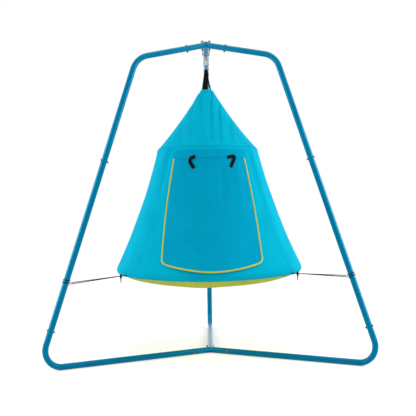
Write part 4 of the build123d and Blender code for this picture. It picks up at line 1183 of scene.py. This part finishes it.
def seam_lines(seam):
    """Two rows of stitches down one panel seam, on the roof and on the wall to the hem."""
    lines = []
    for side in (-1, 1):
        def turned(reach):
            return seam + degrees(side * STITCH_GAP / reach)
        shares = [s for s in roof_shares if s > 0.03]
        lines.append(unzip([on_roof(turned(NECK.x + ROOF_CHORD.x * s), s) for s in shares]))
        wall = [on_wall(turned(wall_line(height)[0]), height) for height in WALL_HEIGHTS]
        lines.append(unzip(wall + [on_rim(turned(RIM.x), share) for share in rim_shares]))
    return lines


def ring_line(surface, place):
    """A row of stitches all round the den."""
    return unzip([surface(azimuth, place) for azimuth in [*AZIMUTHS, AZIMUTHS[0]]])


band_share = 1.0 - BAND_STITCH / ROOF_CHORD.length
den_lines = [line for seam in SEAMS for line in seam_lines(seam)]
den_lines += [ring_line(on_roof, band_share), ring_line(on_wall, SHOULDER.y - BAND_STITCH)]
den_lines += [ring_line(on_rim, HEM_STITCH)]
for rise in HEADER_STITCHES:
    layer = header_layer(DOOR_TOP + rise, HEADER_CLOTH)
    den_lines.append(unzip([on_door(Vector((p.x, DOOR_TOP + rise)), layer) for p in top_side]))
den_stitches = stitches("den_stitches", den_lines, THREAD)
dress(den_stitches, "skin_fabric")
binding_lines = [along_flap_edge(BINDING_STITCH, BINDING_STITCH_LAYER)]
binding_stitches = stitches("binding_stitches", binding_lines, LIME_THREAD)
hang_on_door(binding_stitches, "trim_fabric")

# Webbing: the loop on the hook, the three straps inside the den and the tabs at the hem


HEAD_SIDES = 18
HEAD_RUN = 0.031
HEAD_STEPS = 4
head_points = [Vector((0.0, -HEAD_HALF, HEAD_BOTTOM + HEAD_RUN * k / HEAD_STEPS)) for k in range(HEAD_STEPS)]
for k in range(HEAD_SIDES + 1):
    turn = pi * k / HEAD_SIDES
    head_points.append(Vector((0.0, -HEAD_HALF * cos(turn), HOOK_BAR_HEIGHT + HEAD_HALF * sin(turn))))
head_points += [Vector((0.0, HEAD_HALF, p.z)) for p in reversed(head_points[:HEAD_STEPS])]
head_shares = [min(1.0, (p.z - HEAD_BOTTOM) / HEAD_RUN) for p in head_points]
head_widths = [HEAD_FOOT_WIDTH + (HEAD_WIDTH - HEAD_FOOT_WIDTH) * ease(share) for share in head_shares]
head_ways = [Vector((1, 0, 0))] * len(head_points)
head = ribbon("strap_head_loop", head_points, head_ways, head_widths, HEAD_WEBBING, WEBBING_FABRIC)
dress(head, "webbing", "strap_head")


def plane_side(azimuth):
    """The level way square to an upright plane through the middle axis."""
    return Vector((sin(radians(azimuth)), -cos(radians(azimuth)), 0.0))


STRAP_STEPS = 26
NECK_STEPS = 8
strap_foot = RIM + (Vector(STRAP_NECK) - RIM).normalized() * (RIM_PAD_RADIUS + STRAP_FOOT_GAP + WEBBING / 2)
strap_shares = [k / STRAP_STEPS for k in range(STRAP_STEPS + 1)]
neck_shares = [k / NECK_STEPS for k in range(NECK_STEPS)]
strap_widths = [STRAP_TOP_WIDTH + (WEBBING_WIDTH - STRAP_TOP_WIDTH) * sqrt(share) for share in neck_shares]
strap_widths += [WEBBING_WIDTH] * len(strap_shares)
for leg, azimuth in LEGS.items():
    top = at(azimuth + STRAP_NECK_TURN, *STRAP_TOP)
    neck = at(azimuth + STRAP_NECK_TURN, *STRAP_NECK)
    foot = at(azimuth, strap_foot.x, strap_foot.y)
    points = [top.lerp(neck, share) for share in neck_shares]
    points += [neck.lerp(foot, share) for share in strap_shares]
    turned = plane_side(azimuth + STRAP_NECK_TURN)
    sideways = [turned] * NECK_STEPS
    sideways += [turned.lerp(plane_side(azimuth), share).normalized() for share in strap_shares]
    strap = ribbon(f"strap_webbing_{leg}", points, sideways, strap_widths, WEBBING, WEBBING_FABRIC)
    dress(strap, "webbing", f"suspension_strap_{leg}")

TAB_LAYER = 0.0013
TAB_WEBBING = 0.0012
TAB_HEIGHT = 0.545
TAB_FOOT = TAB_START - 0.0008
TAB_BEND = TAB_START + TAB_LENGTH - 0.012
TAB_END = TAB_START + TAB_LENGTH - 0.001
TAB_BULGE = TAB_LAYER * 1.6
TAB_ROUTE = (
    (TAB_FOOT, -TAB_LAYER), (TAB_BEND, -TAB_LAYER), (TAB_END, -TAB_BULGE),
    (TAB_END, TAB_BULGE), (TAB_BEND, TAB_LAYER), (TAB_FOOT, TAB_LAYER),
)
for leg, azimuth in LEGS.items():
    line = spline_points([at(azimuth, reach, TAB_HEIGHT + rise) for reach, rise in TAB_ROUTE], 6)
    sideways, widths = [plane_side(azimuth)] * len(line), [TAB_WIDTH] * len(line)
    tab = ribbon(f"hem_tab_loop_{leg}", line, sideways, widths, TAB_WEBBING, WEBBING_FABRIC)
    dress(tab, "webbing", *(["hem_tabs"] if leg == "left" else []))

# Cords: tethers in two halves, tails at the toggles and windings round the legs


def cord_piece(name, route, radius_at=None):
    """Mesh cord along the smooth spline of a route, with the points that it follows."""
    line = spline_points(route)
    radii = radius_at and [radius_at(i / (len(line) - 1)) for i in range(len(line))]
    return tube(name, line, CORD_DIAMETER / 2, CORD_BRAID, radii=radii), line


def tail_radius(share):
    """Radius of a cord's tail, which thins towards its cut end."""
    return TAIL_TOP_RADIUS * (1 - 0.6 * share**2)


def tether_strand(leg, azimuth, name, way, *nodes):
    """One strand of a tether in two halves, one from the den's rim and one from the leg, which meet midway.
    """
    rim, end = Vector(TETHER_RIM_END), Vector(TETHER_LEG_END[leg])
    run = (end - rim).normalized()
    end += Vector((-run.y, run.x)) * STRAND_RING_OFFSET * way
    rim_end = at(azimuth, rim.x, rim.y) + plane_side(azimuth) * STRAND_TOGGLE_OFFSET * way
    leg_end = at(azimuth, end.x, end.y)
    middle = rim_end.lerp(leg_end, 0.5)
    made = {}
    for kind, start in (("rim", rim_end), ("leg", leg_end)):
        piece, line = cord_piece(f"tether_{kind}_half_{leg}_{name}", [start, start.lerp(middle, 0.5), middle])
        made[kind] = piece
    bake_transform(made["rim"])
    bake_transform(made["leg"])
    dress(made["rim"], "cord", body=None)
    dress(made["leg"], "cord", *nodes, body=None)


for leg, azimuth in LEGS.items():
    tether_strand(leg, azimuth, "upper", 1, f"tether_cord_{leg}")
    tether_strand(leg, azimuth, "lower", -1)

    tail_top = at(azimuth, TOGGLE_REACH, TAB_HEIGHT - TOGGLE_LENGTH / 2 - TAIL_GAP)
    drop = Vector((0, 0, TAIL_LENGTH))
    lean = plane_side(azimuth) * TAIL_LEAN
    tail_route = [tail_top, tail_top - drop * 0.5 + lean, tail_top - drop]
    tail, tail_line = cord_piece(f"tether_tail_{leg}", tail_route, tail_radius)
    dress(tail, "cord", *(["tether_tails"] if leg == "left" else []))

    up = (LEG_TOP - LEG_FOOT).normalized()
    at_leg = LEG_FOOT + up * ((TETHER_LEG_HEIGHT[leg] - LEG_FOOT.y) / up.y)
    along = at(azimuth, up.x, up.y)
    inward = at(azimuth, -up.y, up.x)
    across = along.cross(inward)
    origin = at(azimuth, at_leg.x, at_leg.y)
    control = WINDING_RADIUS / cos(pi / POINTS_PER_TURN)
    route = []
    for k in range(WINDING_TURNS * POINTS_PER_TURN + 1):
        turn = 2 * pi * k / POINTS_PER_TURN
        rise = WINDING_PITCH * (k / POINTS_PER_TURN - WINDING_TURNS / 2)
        route.append(origin + inward * control * cos(turn) + across * control * sin(turn) + along * rise)
    winding, winding_line = cord_piece(f"leg_winding_cord_{leg}", route)
    dress(winding, "cord", f"leg_winding_{leg}", body="stand")

# Stage


def camera():
    """Camera that sees what the photograph's saw."""
    level_run = cos(CAMERA_PITCH)
    forward = Vector((sin(CAMERA_PAN) * level_run, cos(CAMERA_PAN) * level_run, sin(CAMERA_PITCH)))
    level = forward.cross(Vector((0, 0, 1))).normalized()
    upright = level.cross(forward)
    right = level * cos(CAMERA_ROLL) + upright * sin(CAMERA_ROLL)
    up = upright * cos(CAMERA_ROLL) - level * sin(CAMERA_ROLL)
    data = bpy.data.cameras.new("camera")
    data.sensor_width = SENSOR
    data.lens = SENSOR * FOCAL_PIXELS / PHOTO_SIZE
    made = bpy.data.objects.new("camera", data)
    columns = Matrix((right, up, -forward)).transposed().to_4x4()
    made.matrix_world = Matrix.Translation(CAMERA_PLACE) @ columns
    bpy.context.scene.collection.objects.link(made)
    bpy.context.scene.camera = made


camera()


def seen_directly(tree):
    """1 for what the camera sees, also in reflections and through glass."""
    path = tree.nodes.new("ShaderNodeLightPath")
    total = path.outputs["Is Camera Ray"]
    for ray in ("Is Glossy Ray", "Is Transmission Ray"):
        either = tree.nodes.new("ShaderNodeMath")
        either.operation = "MAXIMUM"
        tree.links.new(total, either.inputs[0])
        tree.links.new(path.outputs[ray], either.inputs[1])
        total = either.outputs["Value"]
    return total


FLOOR_NEAR = (1.6, 0.40)
FLOOR_FAR = (7.0, 0.62)


def floor_material():
    """Pale floor that is white to the camera and in reflections, and keeps the object's shadow."""
    made = Finish("studio_floor", (0.80, 0.80, 0.80, 1.0), 0.9, specular=0.0)
    place = made.node("ShaderNodeTexCoord")
    reach = made.node("ShaderNodeVectorMath", operation="LENGTH")
    glow = made.node("ShaderNodeMapRange", interpolation_type="SMOOTHSTEP")
    glow.inputs["From Min"].default_value, glow.inputs["To Min"].default_value = FLOOR_NEAR
    glow.inputs["From Max"].default_value, glow.inputs["To Max"].default_value = FLOOR_FAR
    light = made.node("ShaderNodeEmission")
    both = made.node("ShaderNodeAddShader")
    shown = made.node("ShaderNodeMixShader")
    for source, target in (
        (place.outputs["Object"], reach.inputs[0]),
        (reach.outputs["Value"], glow.inputs["Value"]),
        (glow.outputs["Result"], light.inputs["Strength"]),
        (made.shader.outputs["BSDF"], both.inputs[0]),
        (light.outputs["Emission"], both.inputs[1]),
        (seen_directly(made.tree), shown.inputs["Fac"]),
        (made.shader.outputs["BSDF"], shown.inputs[1]),
        (both.outputs["Shader"], shown.inputs[2]),
        (shown.outputs["Shader"], made.tree.nodes["Material Output"].inputs["Surface"]),
    ):
        made.link(source, target)
    return made.material


def floor():
    """Level ground, far larger than the picture."""
    half = 40.0
    points = [(-half, -half, 0.0), (half, -half, 0.0), (half, half, 0.0), (-half, half, 0.0)]
    made = mesh_object("studio_floor", points, [(0, 1, 2, 3)], floor_material(), smooth=False)


def soft_light(name, place, target, size, watts):
    """Square soft box that faces a target."""
    data = bpy.data.lights.new(name, "AREA")
    data.shape = "SQUARE"
    data.size = size
    data.energy = watts
    made = bpy.data.objects.new(name, data)
    made.location = place
    made.rotation_mode = "QUATERNION"
    made.rotation_quaternion = (Vector(target) - Vector(place)).to_track_quat("-Z", "Y")
    bpy.context.scene.collection.objects.link(made)


WORLD_FILL = 0.50


def world():
    """White surroundings: full white to the camera and in reflections, and a soft fill on the object."""
    made = bpy.data.worlds.new("studio")
    made.use_nodes = True
    bpy.context.scene.world = made
    tree = made.node_tree
    back = tree.nodes["Background"]
    back.inputs["Color"].default_value = (1.0, 1.0, 1.0, 1.0)
    strength = tree.nodes.new("ShaderNodeMapRange")
    strength.inputs["To Min"].default_value = WORLD_FILL
    strength.inputs["To Max"].default_value = 1.0
    tree.links.new(seen_directly(tree), strength.inputs["Value"])
    tree.links.new(strength.outputs["Result"], back.inputs["Strength"])


floor()
world()
DEN_MIDDLE = (0.0, 0.0, 1.0)
soft_light("key_right", (3.9, -1.0, 2.3), DEN_MIDDLE, 2.2, 112.0)
soft_light("key_left", (-3.9, -1.0, 2.2), DEN_MIDDLE, 2.2, 90.0)
soft_light("top", (0.3, -0.9, 4.6), DEN_MIDDLE, 3.0, 30.0)
bpy.context.scene.view_settings.view_transform = "Standard"
